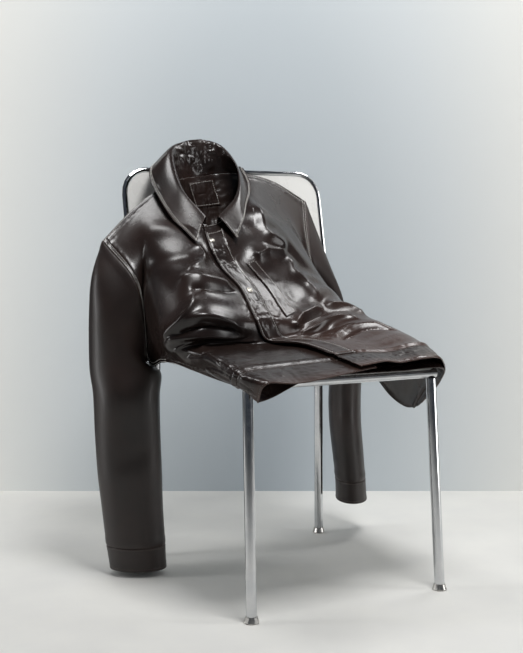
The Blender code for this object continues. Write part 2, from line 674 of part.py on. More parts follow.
# ---------------------------------------------------------------- chair
def add_tube(name, path, radius, look, sides=20, ends=None):
    """A round bar along a path.  `ends` gives the direction of each flat end."""
    path = np.asarray(path, float)
    legs = unit(np.diff(path, axis=0))
    directions = unit(np.concatenate([legs[:1], legs[:-1] + legs[1:], legs[-1:]]))
    planes = directions.copy()
    if ends is not None:
        planes[0], planes[-1] = (np.asarray(end, float) for end in ends)
    side = unit(np.cross(legs[0], [0.3, 1.0, 0.2]))
    turns = 2 * math.pi * np.arange(sides) / sides
    rings = []
    for i, point in enumerate(path):
        leg = legs[min(i, len(legs) - 1)]
        side = unit(side - leg * np.dot(side, leg))
        other = np.cross(leg, side)
        ring = point + radius * (np.cos(turns)[:, None] * side + np.sin(turns)[:, None] * other)
        slide = (point - ring) @ planes[i] / np.dot(leg, planes[i])
        rings.append(ring + slide[:, None] * leg)
    vertices = np.concatenate(rings)
    number = np.arange(len(vertices)).reshape(len(path), sides)
    faces = [tuple(number[0][::-1]), tuple(number[-1])]
    for i in range(len(path) - 1):
        for j in range(sides):
            k = (j + 1) % sides
            faces.append((number[i, j], number[i, k], number[i + 1, k], number[i + 1, j]))
    return add_solid(name, vertices, faces, look)


def rounded_outline(half_width, low, high, low_corner, high_corner, steps=6):
    """A rectangle with rounded corners, anticlockwise from its lower right corner."""
    points = []
    for x, y, corner, start in (
        (half_width, low, low_corner, -90),
        (half_width, high, high_corner, 0),
        (-half_width, high, high_corner, 90),
        (-half_width, low, low_corner, 180),
    ):
        cx = x - math.copysign(corner, x)
        cy = y + corner if y == low else y - corner
        for step in range(steps + 1):
            turn = math.radians(start + 90 * step / steps)
            points.append((cx + corner * math.cos(turn), cy + corner * math.sin(turn)))
    return points


def add_sheet(name, outline, lower, upper, look):
    """A flat sheet: `lower` and `upper` turn each point of the outline into a point of either face."""
    count = len(outline)
    vertices = [lower(*point) for point in outline] + [upper(*point) for point in outline]
    faces = [tuple(range(count))[::-1], tuple(range(count, 2 * count))]
    for i in range(count):
        j = (i + 1) % count
        faces.append((i, j, j + count, i + count))
    return add_solid(name, vertices, faces, look)


def backrest_y(z):
    return BACKREST_FOOT_Y + (z - 0.43) * BACKREST_LEAN


def make_chair():
    steel = material("satin steel", STEEL_COLOUR, 0.22, 1.0)
    pale = material("pale steel panel", PANEL_COLOUR, 0.35, 0.6)
    rail_top = SEAT_TOP - SEAT_SHEET - TOUCH
    reach = RAIL_HALF_WIDTH + RAIL_RADIUS * 0.9
    for name, y, radius in (("front", RAIL_FRONT_Y, RAIL_RADIUS), ("back", RAIL_BACK_Y, THIN_RAIL_RADIUS)):
        rail_z = rail_top - radius
        add_tube("seat_rail_" + name, [(-reach, y, rail_z), (reach, y, rail_z)], radius, steel)
    side_start = RAIL_FRONT_Y + RAIL_RADIUS + TOUCH
    side_end = RAIL_BACK_Y - THIN_RAIL_RADIUS - TOUCH
    side_z = rail_top - THIN_RAIL_RADIUS
    for name, x in (("left", -SIDE_RAIL_X), ("right", SIDE_RAIL_X)):
        path = [(x, side_start, side_z), (x, side_end, side_z)]
        add_tube("seat_rail_" + name, path, THIN_RAIL_RADIUS, steel)
    outline = rounded_outline(SEAT_HALF_WIDTH, RAIL_FRONT_Y - 0.008, RAIL_BACK_Y + 0.008, 0.02, 0.02, 4)
    add_sheet(
        "seat_sheet",
        outline,
        lambda x, y: (x, y, SEAT_TOP - SEAT_SHEET),
        lambda x, y: (x, y, SEAT_TOP),
        pale,
    )
    for side, sign in (("left", -1), ("right", 1)):
        for end, (foot_x, foot_y), top_y, radius in (
            ("front", FRONT_FOOT, RAIL_FRONT_Y, RAIL_RADIUS),
            ("back", BACK_FOOT, RAIL_BACK_Y, THIN_RAIL_RADIUS),
        ):
            leg_top = rail_top - 2 * radius - TOUCH
            foot = (sign * foot_x, foot_y, GLIDE_HEIGHT + TOUCH)
            top = (sign * RAIL_HALF_WIDTH, top_y, leg_top)
            up = (0, 0, 1)
            add_tube(f"leg_{end}_{side}", [foot, top], RAIL_RADIUS, steel, ends=(up, up))
            add_glide(f"glide_{end}_{side}", sign * foot_x, foot_y, steel)
    make_backrest(steel, pale)


def add_glide(name, x, y, look, sides=20):
    """A small flared foot, flat on the floor."""
    rings = ((0, GLIDE_RADIUS - 0.001), (0.002, GLIDE_RADIUS), (GLIDE_HEIGHT, RAIL_RADIUS + 0.001))
    vertices = []
    for z, radius in rings:
        for j in range(sides):
            turn = 2 * math.pi * j / sides
            vertices.append((x + radius * math.cos(turn), y + radius * math.sin(turn), z))
    faces = [tuple(range(sides))[::-1], tuple(range(2 * sides, 3 * sides))]
    for i in range(2):
        for j in range(sides):
            k = (j + 1) % sides
            faces.append((i * sides + j, i * sides + k, (i + 1) * sides + k, (i + 1) * sides + j))
    return add_solid(name, vertices, faces, look)


def make_backrest(steel, pale):
    """A thin tube round a sheet, both leaning back, on the ends of the seat's side rails."""
    def behind(x, z, depth):
        """A point of the backrest, `depth` behind its front face."""
        return (x, backrest_y(z) + depth, z - depth * BACKREST_LEAN)

    axis = BACKREST_TUBE
    half = BACKREST_HALF_WIDTH
    corner = BACKREST_CORNER
    top = BACKREST_TOP
    foot_z = SEAT_TOP + TOUCH + axis * 0.3
    splice = TOUCH / 2
    for side, sign in (("left", -1), ("right", 1)):
        upright = [
            (sign * (RAIL_HALF_WIDTH - 0.006), foot_z),
            (sign * (RAIL_HALF_WIDTH - 0.004), 0.470),
            (sign * (RAIL_HALF_WIDTH + 0.010), 0.500),
            (sign * (half - 0.006), 0.532),
            (sign * half, 0.562),
            (sign * half, top - corner - splice),
        ]
        path = [behind(x, z, axis) for x, z in upright]
        along = unit(np.array(path[-1]) - np.array(path[-2]))
        add_tube(f"backrest_upright_{side}", path, axis, steel, 14, ends=((0, 0, 1), along))
        turns = np.radians(np.linspace(0, 90, 7))
        bend = [
            behind(sign * (half - corner + corner * math.cos(t)), top - corner + corner * math.sin(t), axis)
            for t in turns
        ]
        add_tube(f"backrest_corner_{side}", bend, axis, steel, 14, ends=(along, (-sign, 0, 0)))
    ends = [behind(x, top, axis) for x in (-(half - corner) + splice, half - corner - splice)]
    add_tube("backrest_top", ends, axis, steel, 14, ends=((1, 0, 0), (1, 0, 0)))
    inset = BACKREST_TUBE + 0.0008
    outline = rounded_outline(half - inset, BACKREST_SHEET_BOTTOM, top - inset, 0.03, corner - inset)
    front = BACKREST_TUBE - BACKREST_SHEET / 2
    add_sheet(
        "backrest_sheet",
        [(x, z) for x, z in outline],
        lambda x, z: behind(x, z, front),
        lambda x, z: behind(x, z, front + BACKREST_SHEET),
        pale,
    )


def centre_footprint():
    """Moves everything sideways so that the middle of the footprint is the origin."""
    meshes = [thing.data for thing in bpy.context.scene.objects if thing.type == "MESH"]
    corners = [np.array([vertex.co for vertex in mesh.vertices]) for mesh in meshes]
    low = np.min([points.min(axis=0) for points in corners], axis=0)
    high = np.max([points.max(axis=0) for points in corners], axis=0)
    shift = (low + high) / 2
    for mesh in meshes:
        for vertex in mesh.vertices:
            vertex.co.x -= shift[0]
            vertex.co.y -= shift[1]


def main():
    for thing in list(bpy.data.objects):
        bpy.data.objects.remove(thing, do_unlink=True)
    leather = material("brown black leather", LEATHER_COLOUR, 0.32, 0.0)
    snap_metal = material("snap metal", SNAP_COLOUR, 0.3, 1.0)
    panels, snaps = make_panels()
    for panel in panels.values():
        add_wall(panel, leather)
    for snap in snaps:
        add_snap(*snap, snap_metal)
    make_chair()
    centre_footprint()


main()
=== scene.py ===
"""A leather shirt jacket draped over a tubular steel chair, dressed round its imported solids.

Metres, +Z up.  The tables use the chair's own frame: x = 0 midway between the front feet, y = 0 at the front
feet with +Y towards the backrest, and z = 0 on the floor.  Left and right are the viewer's, looking along +Y.

The jacket is cut as panels.  Each panel is a grid read from a net of sections: its rows run from the hem
(row 0) to the shoulders (row 8), and its columns from the left side seam (0) across the centre front (3) to
the right side seam (6).
"""

import math
from itertools import product

import bpy
import numpy as np
from mathutils import Matrix, Vector, kdtree


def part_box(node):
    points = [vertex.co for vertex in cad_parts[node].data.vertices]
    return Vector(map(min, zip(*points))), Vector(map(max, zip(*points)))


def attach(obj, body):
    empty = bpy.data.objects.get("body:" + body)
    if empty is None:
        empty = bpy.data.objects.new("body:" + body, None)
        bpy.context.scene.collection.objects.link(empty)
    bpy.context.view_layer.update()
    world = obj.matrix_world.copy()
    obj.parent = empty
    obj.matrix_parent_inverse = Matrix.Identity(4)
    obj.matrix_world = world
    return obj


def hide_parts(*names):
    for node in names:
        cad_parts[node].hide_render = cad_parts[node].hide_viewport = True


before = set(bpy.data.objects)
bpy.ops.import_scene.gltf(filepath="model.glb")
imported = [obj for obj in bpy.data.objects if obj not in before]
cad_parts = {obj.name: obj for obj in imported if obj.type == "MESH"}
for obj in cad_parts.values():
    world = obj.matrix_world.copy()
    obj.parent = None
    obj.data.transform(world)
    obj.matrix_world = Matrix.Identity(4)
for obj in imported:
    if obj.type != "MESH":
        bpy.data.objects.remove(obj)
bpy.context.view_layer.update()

# ---------------------------------------------------------------- cloth
LEATHER = 0.0020  # thickness of one layer
SEAM_GAP = 0.0006  # between pieces that meet at a seam
LAYER = 0.0028  # from the middle of one layer to the middle of the next one lying on it
PLACKET_WIDTH = 0.046
PATCH = 0.0012  # thickness of the thin pieces sewn onto a panel
PATCH_GAP = 0.0005  # between a panel and a piece lying on it
APART = 0.006  # least distance between the front and the back away from their seams
LOWER_GAP = 0.009  # how far the open lower front stands off the layer under it
LOWER_ROWS = (2.4, 0.9)  # the row where this begins to close, and the rows that it takes
OVERLAP_FADE = 0.75  # the columns over which the overlapping front settles down again
MOST_PUSH = 0.03  # the furthest that the front and the back are pushed apart
PUSH_COLUMNS = (2, 1.5)  # the columns beside a seam that are pushed in full, and those where it fades
PUSH_FADE = 1.2  # the rows below the shoulders where it fades
SEAT_ROWS = (2, 1.5)  # the rows where the back rests on the seat, and those where it leaves it

# ---------------------------------------------------------------- tables
# The front, a row for each section: its points (x, y, z) at the left side seam, the left chest, left of the
# centre, the centre front, right of the centre, the right ridge and the right side seam.
FRONT_SECTIONS = (
    ((-0.196, -0.004, 0.399), (-0.190, -0.030, 0.435), (-0.110, -0.027, 0.433), (0.030, -0.022, 0.450),
     (0.100, -0.022, 0.458), (0.199, -0.012, 0.455), (0.236, 0.105, 0.356)),
    ((-0.2140, 0.029, 0.4215), (-0.224, 0.012, 0.451), (-0.107, 0.038, 0.456), (0.018, 0.045, 0.462),
     (0.100, 0.030, 0.472), (0.208, 0.042, 0.471), (0.245, 0.140, 0.342)),
    ((-0.2205, 0.130, 0.429), (-0.238, 0.098, 0.475), (-0.130, 0.115, 0.476), (-0.010, 0.115, 0.478),
     (0.080, 0.110, 0.492), (0.206, 0.125, 0.494), (0.256, 0.195, 0.334)),
    ((-0.236, 0.200, 0.439), (-0.244, 0.172, 0.478), (-0.140, 0.185, 0.486), (-0.060, 0.175, 0.487),
     (0.040, 0.190, 0.497), (0.190, 0.212, 0.516), (0.258, 0.255, 0.350)),
    ((-0.247, 0.265, 0.447), (-0.276, 0.215, 0.488), (-0.215, 0.165, 0.528), (-0.085, 0.190, 0.530),
     (0.020, 0.215, 0.530), (0.155, 0.280, 0.550), (0.250, 0.310, 0.392)),
    ((-0.243, 0.330, 0.440), (-0.276, 0.275, 0.550), (-0.212, 0.212, 0.598), (-0.088, 0.250, 0.585),
     (0.010, 0.285, 0.598), (0.138, 0.358, 0.610), (0.220, 0.352, 0.455)),
    ((-0.254, 0.375, 0.440), (-0.273, 0.332, 0.610), (-0.200, 0.285, 0.650), (-0.108, 0.300, 0.632),
     (-0.015, 0.330, 0.672), (0.112, 0.405, 0.688), (0.190, 0.416, 0.535)),
    ((-0.285, 0.350, 0.590), (-0.250, 0.388, 0.700), (-0.172, 0.360, 0.710), (-0.118, 0.348, 0.700),
     (-0.010, 0.392, 0.745), (0.102, 0.448, 0.742), (0.160, 0.436, 0.660)),
    ((-0.333, 0.422, 0.684), (-0.248, 0.456, 0.755), (-0.156, 0.484, 0.809), (-0.051, 0.536, 0.829),
     (0.022, 0.508, 0.833), (0.109, 0.520, 0.819), (0.194, 0.518, 0.775)),
)
# The back panel's middle for each of the same rows, and how far it lies open to the left and the right.  The
# back armholes' edge points follow, for its last row.
BACK_SECTIONS = (
    # y, z, left x, right x, drop of the left end, drop of the right end
    (-0.004, 0.4395, -0.1720, 0.2090, 0.031, 0.004),
    (0.030, 0.4445, -0.2145, 0.2140, 0.000, 0.000),
    (0.145, 0.4440, -0.2150, 0.2140, 0.000, 0.000),
    (0.235, 0.4520, -0.2160, 0.2120, 0.004, 0.004),
    (0.325, 0.4860, -0.2200, 0.1850, 0.026, 0.020),
    (0.390, 0.5400, -0.2250, 0.1600, 0.050, 0.030),
    (0.450, 0.6050, -0.2350, 0.1500, 0.060, 0.010),
    (0.504, 0.7200, -0.2450, 0.1550, 0.065, -0.010),
)
BACK_ARMHOLE = (
    # side, x, y, z
    (-1, -0.300, 0.440, 0.580),
    (1, 0.208, 0.468, 0.655),
)
END_LEAN = 0.35  # how far a dropped end of the back comes forward, for each metre it drops
NECK_DEPTH = 0.86  # how many rows the neck is cut down at the centre front

# Sleeves hang from the armholes.  Each row is a ring: its middle, half its width across, half its depth, and
# how much its outer side stands above its inner side for each metre across.
LEFT_SLEEVE_RINGS = (
    # x, y, z, across, deep, slope
    (-0.309, 0.402, 0.515, 0.054, 0.048, 1.50),
    (-0.298, 0.394, 0.430, 0.072, 0.050, 0.20),
    (-0.299, 0.384, 0.370, 0.067, 0.052, 0.05),
    (-0.297, 0.384, 0.290, 0.066, 0.048, 0.00),
    (-0.294, 0.382, 0.210, 0.065, 0.046, 0.00),
    (-0.290, 0.380, 0.140, 0.062, 0.044, 0.00),
    (-0.285, 0.377, 0.070, 0.060, 0.042, 0.00),
    (-0.280, 0.375, 0.012, 0.057, 0.040, 0.00),
)
RIGHT_SLEEVE_RINGS = (
    # x, y, z, across, deep, slope
    (0.2160, 0.4282, 0.5661, 0.0105, 0.0253, 1.57),
    (0.2296, 0.4096, 0.5028, 0.0146, 0.0387, -0.14),
    (0.256, 0.420, 0.430, 0.033, 0.052, 0.10),
    (0.258, 0.440, 0.350, 0.036, 0.066, 0.00),
    (0.262, 0.446, 0.270, 0.036, 0.074, 0.00),
    (0.269, 0.443, 0.190, 0.035, 0.070, 0.00),
    (0.274, 0.441, 0.135, 0.034, 0.066, 0.00),
    (0.277, 0.440, 0.083, 0.035, 0.062, 0.00),
)
SLEEVE_TURN = math.radians(27)  # the sleeves' flat sides face this far round from +Y
CUFF_LENGTH = 0.050
COLLAR_REST = 0.0055  # from the middle of the chest's layer to the middle of the collar lying on it

# The collar from the right front end round the nape to the left front end: where it rolls over (t) and its
# free edge (e).
COLLAR_SECTIONS = (
    # tx, ty, tz,   ex, ey, ez
    (-0.104, 0.352, 0.733, -0.078, 0.318, 0.688),
    (-0.036, 0.404, 0.783, -0.036, 0.368, 0.737),
    (0.000, 0.478, 0.843, 0.024, 0.470, 0.797),
    (-0.011, 0.530, 0.889, 0.026, 0.564, 0.866),
    (-0.046, 0.547, 0.905, -0.035, 0.582, 0.868),
    (-0.096, 0.541, 0.899, -0.108, 0.580, 0.870),
    (-0.147, 0.498, 0.873, -0.198, 0.502, 0.834),
    (-0.162, 0.415, 0.795, -0.206, 0.405, 0.755),
    (-0.131, 0.360, 0.733, -0.175, 0.312, 0.674),
)

# Folds raised from a panel, or pressed into it where the height is negative.  Each runs from one place on its
# net to another, and bows sideways by `bow` of its length.
FRONT_FOLDS = (
    # name, column 0, row 0, column 1, row 1, bow, width, height
    ("right chest ridge, upper", 3.70, 7.05, 4.60, 6.30, 0.05, 0.026, 0.011),
    ("right chest ridge, lower", 4.60, 6.30, 3.30, 5.90, 0.05, 0.024, 0.009),
    ("right chest hollow", 3.70, 6.75, 4.30, 6.30, 0.00, 0.022, -0.007),
    ("right side ridge", 4.60, 6.30, 4.90, 5.00, -0.10, 0.020, 0.009),
    ("right belly ridge", 4.00, 4.20, 5.40, 4.35, 0.08, 0.016, 0.008),
    ("right pinch", 4.20, 5.10, 4.90, 4.60, 0.00, 0.014, 0.007),
    ("left armhole to centre", 0.60, 6.40, 2.30, 6.15, -0.12, 0.018, -0.008),
    ("left chest ridge", 0.80, 6.90, 2.20, 6.60, 0.10, 0.022, 0.008),
    ("left belly ridge", 1.00, 4.30, 2.60, 3.95, 0.10, 0.020, 0.008),
    ("left belly crease", 0.80, 3.65, 2.60, 3.35, -0.06, 0.016, -0.007),
    ("left lower ridge", 0.80, 3.20, 2.50, 2.95, 0.05, 0.016, 0.005),
    ("left lower hollow", 1.00, 2.40, 2.40, 2.20, 0.10, 0.018, -0.005),
    ("right lower ridge", 3.60, 2.60, 5.10, 2.70, 0.06, 0.018, 0.006),
    ("right lower hollow", 3.70, 1.90, 5.00, 2.10, -0.06, 0.018, -0.005),
)
SLEEVE_FOLDS = (
    # name, turn 0, row 0, turn 1, row 1, bow, width, height (turn 0 is the underarm, 0.25 the front)
    ("front crease", 0.22, 0.8, 0.18, 3.0, 0.05, 0.020, 0.006),
    ("elbow hollow", 0.10, 4.2, 0.34, 4.6, 0.10, 0.018, -0.006),
    ("elbow ridge", 0.10, 4.9, 0.36, 5.2, -0.10, 0.018, 0.005),
    ("outer hollow", 0.36, 1.6, 0.40, 4.0, 0.00, 0.022, -0.005),
    ("rear hollow", 0.70, 1.2, 0.78, 3.6, 0.05, 0.022, -0.006),
    ("cap ridge", 0.34, 0.4, 0.42, 1.6, 0.05, 0.020, 0.005),
)

# Thin pieces sewn onto a panel: the net places of their four corners, from the one nearest the neck's left
# side round clockwise.
CHEST_WELT = ((3.44, 6.20), (3.66, 6.05), (3.85, 4.15), (3.59, 4.02))
NECK_LABEL = ((2.46, 7.88), (3.17, 7.90), (3.28, 7.38), (2.59, 7.33))
SNAPS = (
    # name, column, row, radius
    ("snap_placket", 2.97, 4.94, 0.0072),
    ("snap_neck", 2.86, 7.55, 0.0060),
)
SNAP_RING = (0.80, 0.18)  # the ring's radius and its wire's, as shares of the snap's
SNAP_RING_FLATTENED = 0.9
SNAP_DOME = 0.72  # the dome's radius, as a share of the snap's
SNAP_DOME_FLATTENED = 0.22
WELT_GRID = (84, 22)  # grid lines of the welt, along and across
LABEL_GRID = (40, 48)
WELT_RAISED = 0.0009  # how far the welt puffs up from its panel
LABEL_RAISED = 0.0003

# Where the grid lines of the body lie: net columns, then net rows.
ACROSS = (0, 0.3, 0.6, 0.85, 1.1, 1.35, 1.65, 2, 2.25, 2.5, 2.75, 2.875, 3, 3.125, 3.25,
          3.5, 3.75, 4, 4.3, 4.6, 4.85, 5.1, 5.4, 5.7, 6)
HEM_ROWS = (0, 0.33, 0.67, 1)
BODY_ROWS = (1.45, 1.9, 2.35, 2.75, 3.1, 3.45, 3.8, 4.15, 4.55, 5, 5.5, 6)
ARM_ROWS = (6.25, 6.5, 6.75, 7, 7.2, 7.4, 7.6, 7.8, 8)
COLUMN_KNOTS = (0, 1, 2, 2.75, 3, 3.25, 4, 5, 6)
PLACKET_EDGES = (2.75, 3.25)
LAST_COLUMN = 6
LAST_ROW = 8
UNDERARM_ROW = 6
PLACKET_TOP = 7.8
LEFT_SHORT = 0.12  # columns by which the left front stops short of the placket's right edge
NECK_COLUMNS = (2, 4)
COLLAR_ENDS = 0.125  # columns by which the collar's front ends stop short of the centre front
COLLAR_ROLL = 0.45  # the share of the collar's height at which it rolls over
COLLAR_SETTLED = 0.3  # the share at which it lies at its full distance from the chest
COLLAR_STEPS = (0, 0.2, 0.35, 0.43, 0.5, 0.57, 0.66, 0.78, 0.9, 1)

# The smaller folds of the front, which the solids don't have.
FRONT_CREASES = (
    # name, its flanks' width, its height (negative for a hollow), its crest's radius, the places on its line
    ("right star, top arm", 0.019, 0.013, 0.003,
     ((4.07, 7.45), (4.12, 6.8), (4.17, 6.28), (4.37, 5.86), (4.47, 5.58))),
    ("right star, left arm", 0.01, 0.009, 0.002, ((4.47, 5.58), (4.22, 5.72), (3.88, 5.97), (3.66, 6.17))),
    ("right star, lower arm", 0.013, 0.011, 0.002,
     ((4.47, 5.58), (4.37, 5.32), (4.33, 5.1), (4.4, 4.85), (4.48, 4.55), (4.47, 4.05))),
    ("right belly, left arm", 0.01, 0.0105, 0.0018,
     ((4.47, 4.02), (4.23, 4.07), (3.96, 4.05), (3.71, 3.76), (3.61, 3.5))),
    ("right belly, right arm", 0.011, 0.009, 0.002, ((4.47, 4.02), (4.72, 3.84), (4.94, 3.6), (4.9, 3.15))),
    ("right belly, hollow", 0.009, -0.005, 0.003, ((3.8, 3.72), (4.1, 3.82), (4.45, 3.75))),
    ("right low ridge", 0.009, 0.0075, 0.002,
     ((3.52, 3.0), (3.71, 3.2), (4.17, 3.52), (4.45, 3.42), (4.61, 3.14), (4.63, 2.71))),
    ("right low hollow", 0.01, -0.005, 0.003, ((3.6, 2.8), (4.0, 3.05), (4.35, 3.0))),
    ("right overhang", 0.007, 0.0085, 0.001,
     ((3.72, 2.22), (3.93, 2.42), (4.27, 2.62), (4.42, 2.6), (4.62, 2.42), (4.8, 2.1))),
    ("right gap under it", 0.004, -0.0102, 0.001,
     ((3.72, 2.05), (3.93, 2.22), (4.27, 2.4), (4.44, 2.38), (4.62, 2.2), (4.78, 1.95))),
    ("left tip fold", 0.01, 0.0065, 0.003,
     ((2.05, 6.75), (2.28, 6.84), (2.4, 6.7), (2.24, 6.15), (1.92, 5.56), (1.78, 5.4))),
    ("left chest overhang", 0.018, 0.0085, 0.004, ((1.55, 5.3), (1.95, 5.32), (2.35, 5.3), (2.68, 5.25))),
    ("left belly, top gap", 0.007, -0.0085, 0.002, ((1.8, 4.98), (2.0, 4.96), (2.3, 4.93), (2.68, 4.93))),
    ("left belly, side crest", 0.009, 0.0102, 0.0015,
     ((1.93, 4.92), (1.8, 4.55), (1.57, 4.3), (1.23, 4.24), (0.92, 4.15))),
    ("left belly, crest", 0.009, 0.0068, 0.002,
     ((1.57, 4.28), (1.84, 4.26), (2.12, 4.16), (2.33, 3.95), (2.48, 3.62))),
    ("left belly, crescent", 0.006, -0.0119, 0.002,
     ((1.15, 4.05), (1.6, 4.02), (1.9, 3.94), (2.18, 3.76), (2.38, 3.5))),
    ("left second crest", 0.007, 0.0102, 0.0015,
     ((0.92, 4.1), (1.2, 4.02), (1.5, 3.86), (1.81, 3.66), (2.1, 3.45), (2.45, 3.36))),
    ("left thin crease", 0.003, 0.0034, 0.0008, ((0.8, 3.6), (1.15, 3.64), (1.62, 3.55))),
    ("left long crease", 0.004, 0.0051, 0.0008,
     ((1.05, 2.72), (1.3, 3.02), (1.58, 3.18), (1.98, 3.22), (2.36, 3.18), (2.64, 3.2))),
    ("left under-fold", 0.006, -0.0085, 0.002, ((0.45, 3.3), (0.8, 2.9), (1.05, 2.58), (1.5, 2.62))),
    ("left pocket crease", 0.004, -0.0051, 0.001, ((0.93, 1.75), (0.88, 1.51), (0.79, 1.1), (0.72, 0.9))),
)
# Where the leather is crumpled.
FRONT_CRUMPLES = (
    # name, the patch's middle column and row, its reach in each, the height and the size of its wrinkles
    ("all over, broad", 3, 4, 9, 9, 0.0002, 0.070),
    ("placket between the snaps", 3.00, 6.75, 0.35, 0.55, 0.0006, 0.012),
    ("placket, low", 3.10, 4.30, 0.40, 0.60, 0.0007, 0.012),
    ("beside the welt", 3.75, 4.60, 0.30, 0.80, 0.0003, 0.016),
    ("left front's corner", 1.10, 1.35, 0.60, 0.40, 0.0008, 0.011),
    ("left band", 1.60, 0.50, 1.80, 0.45, 0.0005, 0.012),
    ("right band", 4.40, 0.50, 1.60, 0.45, 0.0007, 0.012),
    ("right lap", 4.40, 1.80, 1.40, 0.80, 0.0004, 0.022),
)
BACK_CRUMPLES = (
    ("all over, broad", 3, 4, 9, 9, 0.0006, 0.050),
    ("inside the neck", 3.00, 7.40, 1.10, 0.60, 0.0009, 0.012),
)
# The crumpled lining inside the collar: its middle along the seam and up the stand, its reach in each, and
# the height and the size of its wrinkles.
LINING_CRUMPLE = (0.55, 0.22, 0.22, 0.24, 0.0018, 0.018)
LINING_FADE = 0.06  # up the stand
LINING_SEEDS = (9, 4)
# The share of the solids' broad folds that the leather keeps under its own creases.
FRONT_FOLD_SHARE = 0.5
SLEEVE_FOLD_SHARE = 0.2

# Seams: how far each swelling of the leather stands up, how far in it lies, and its width.
SEAM_ROLL = 0.0006
ROLL_PLACE = 0.0015
ROLL_WIDTH = 0.0025
STITCH_SINK = 0.0006  # how deep a row of stitches pulls the leather in
SINK_WIDTH = 0.0016
PUFF_PLACE = 0.007  # in from the last row of stitches
PUFF_WIDTH = 0.006
PUCKER = 0.0005
PUCKER_SIZE = 0.007
PUCKER_SEED = 3.7
PUCKER_PLACE = 0.004  # in from the last row of stitches
PUCKER_WIDTH = 0.006
STITCH_PITCH = 0.0048
STITCH_LENGTH = 0.0034
STITCH_WIDTH = 0.0011
STITCH_STEP = 0.0010  # how far either side of a stitch its direction is read
STITCH_BELLY = 0.55  # the share of a stitch's length that is full width
STITCH_PROUD = 0.15  # the share of its width by which its middle stands proud
STITCH_DIP = 0.45  # the share of its width by which its ends dip below that
STITCH_SIDES = 6
STITCH_CORNERS = 2 + 2 * STITCH_SIDES
# Edges are named in a panel's own net: its bottom is row 0, and its left is column 0.
SEAMS = (
    # panels, edges, how far in each row of stitches runs, how much the leather puffs behind them
    ("front_left", "left top", (0.0025, 0.0085), 0.0006),
    ("front_right", "right top", (0.0025, 0.0085), 0.0006),
    ("front_left front_right", "bottom", (0.0030,), 0.0026),
    ("back", "top", (0.0025, 0.0085), 0.0004),
    ("back", "bottom", (0.0030,), 0.0020),
    ("sleeve_left sleeve_right", "bottom", (0.0030,), 0.0012),
    ("sleeve_left sleeve_right", "top", (0.0030,), 0.0010),
    ("cuff_left cuff_right", "bottom", (0.0030,), 0.0),
    ("cuff_left cuff_right", "top", (0.0060,), 0.0),
    ("collar", "top", (0.0045,), 0.0),
    ("placket", "left right", (0.0050,), 0.0003),
    ("hem_band_front_left hem_band_front_right", "top bottom", (0.0040,), 0.0003),
    ("hem_band_back", "bottom", (0.0040,), 0.0003),
)
STITCH_ROWS = (
    # panels, edges, how far in the row of topstitching runs, the shares of the edge where it starts and ends
    ("front_left", "left", 0.0025, 0.42, 1.0),
    ("front_left", "left", 0.0085, 0.42, 1.0),
    ("front_right", "right", 0.0025, 0.42, 1.0),
    ("front_right", "right", 0.0085, 0.42, 1.0),
    ("front_left front_right back", "top", 0.0025, 0.0, 1.0),
    ("front_right", "top", 0.0085, 0.55, 1.0),
    ("collar", "top", 0.0045, 0.0, 1.0),
    ("collar", "top", 0.0080, 0.0, 1.0),
    ("collar", "left right", 0.0045, 0.5, 1.0),
    ("placket", "left right", 0.0050, 0.0, 1.0),
    ("placket", "top", 0.0050, 0.12, 0.88),
    ("hem_band_front_left hem_band_front_right", "top bottom", 0.0040, 0.0, 1.0),
    ("hem_band_back", "bottom", 0.0040, 0.0, 1.0),
    ("cuff_left cuff_right", "bottom", 0.0030, 0.0, 1.0),
    ("cuff_left cuff_right", "top", 0.0060, 0.0, 1.0),
    ("chest_welt", "left right", 0.0030, 0.02, 0.98),
    ("chest_welt", "top bottom", 0.0030, 0.12, 0.88),
    ("neck_label", "left right top bottom", 0.0035, 0.05, 0.95),
)

# Panels with no fine creases keep every second row of their grid: 2 keeps every second column too.
THINNED = {"back": 2, "hem_band_back": 2, "sleeve_left": 1, "sleeve_right": 1}
# The panels sewn with brown thread; the others have pale thread.
BROWN_THREAD = ("cuff_left", "cuff_right", "hem_band_front_left", "hem_band_front_right", "hem_band_back")
# How far each panel's leather has gone red-brown with wear, towards its lower edge.
WARMTH = {"front_right": 0.45, "hem_band_front_right": 0.50, "hem_band_front_left": 0.30, "placket": 0.15}
WARMTH_REACH = 0.55  # the share of the panel's length that this fades over
DYE_CLOUD = 0.4  # how far the clouds of the dye do the same
EDGE_WEAR = 0.12  # how far every edge has
EDGE_WEAR_WIDTH = 0.0025
# How dull the leather is where it was never polished.
DULLNESS = {"sleeve_left": 0.7, "sleeve_right": 0.8, "cuff_left": 0.7, "cuff_right": 0.8}
DULL_ROUGHNESS = 0.22  # how much rougher the dullest leather is
EDGE_LINES = (45, 0, -45)  # degrees, the directions in which a rounded edge's lines lie

# ---------------------------------------------------------------- grids
FINE = 12  # lines of these grids for each line of the solids' grids
SLEEVE_FINE = 8  # the same down the sleeves
SLEEVE_LINES = (8, 13)  # the solids' lines down to the second ring, and on to the cuff
CUFF_LINES = 20
SEAM_FADE = (0.55, 0.6, 0.7)  # columns in from the side seams, rows below the shoulders, rows above the hem
EDGE_FADE = 0.3  # columns and rows
SLEEVE_FADE = (0.6, 0.5)  # rows below the armhole, and above the cuff
FOLD_STEPS = 13
FOLD_ENDS = (0.04, 0.96)  # the shares of its length beyond which a fold fades no further
FOLD_ROUNDNESS = 0.7  # how slowly a fold fades towards its ends: 1 is a plain sine
CREASE_STEPS = 12  # for each place that a crease runs through
CREASE_REACH = 5  # how many widths of a crease away it ends
CREASE_TAPER = 0.22  # the share of its length over which each end of a crease dies away
NEAR_ENOUGH = 0.004  # stretches of a fold's line this much further off than the nearest still count
PATCH_END = 1.6  # a crumpled patch ends where its reaches' squares add up to this
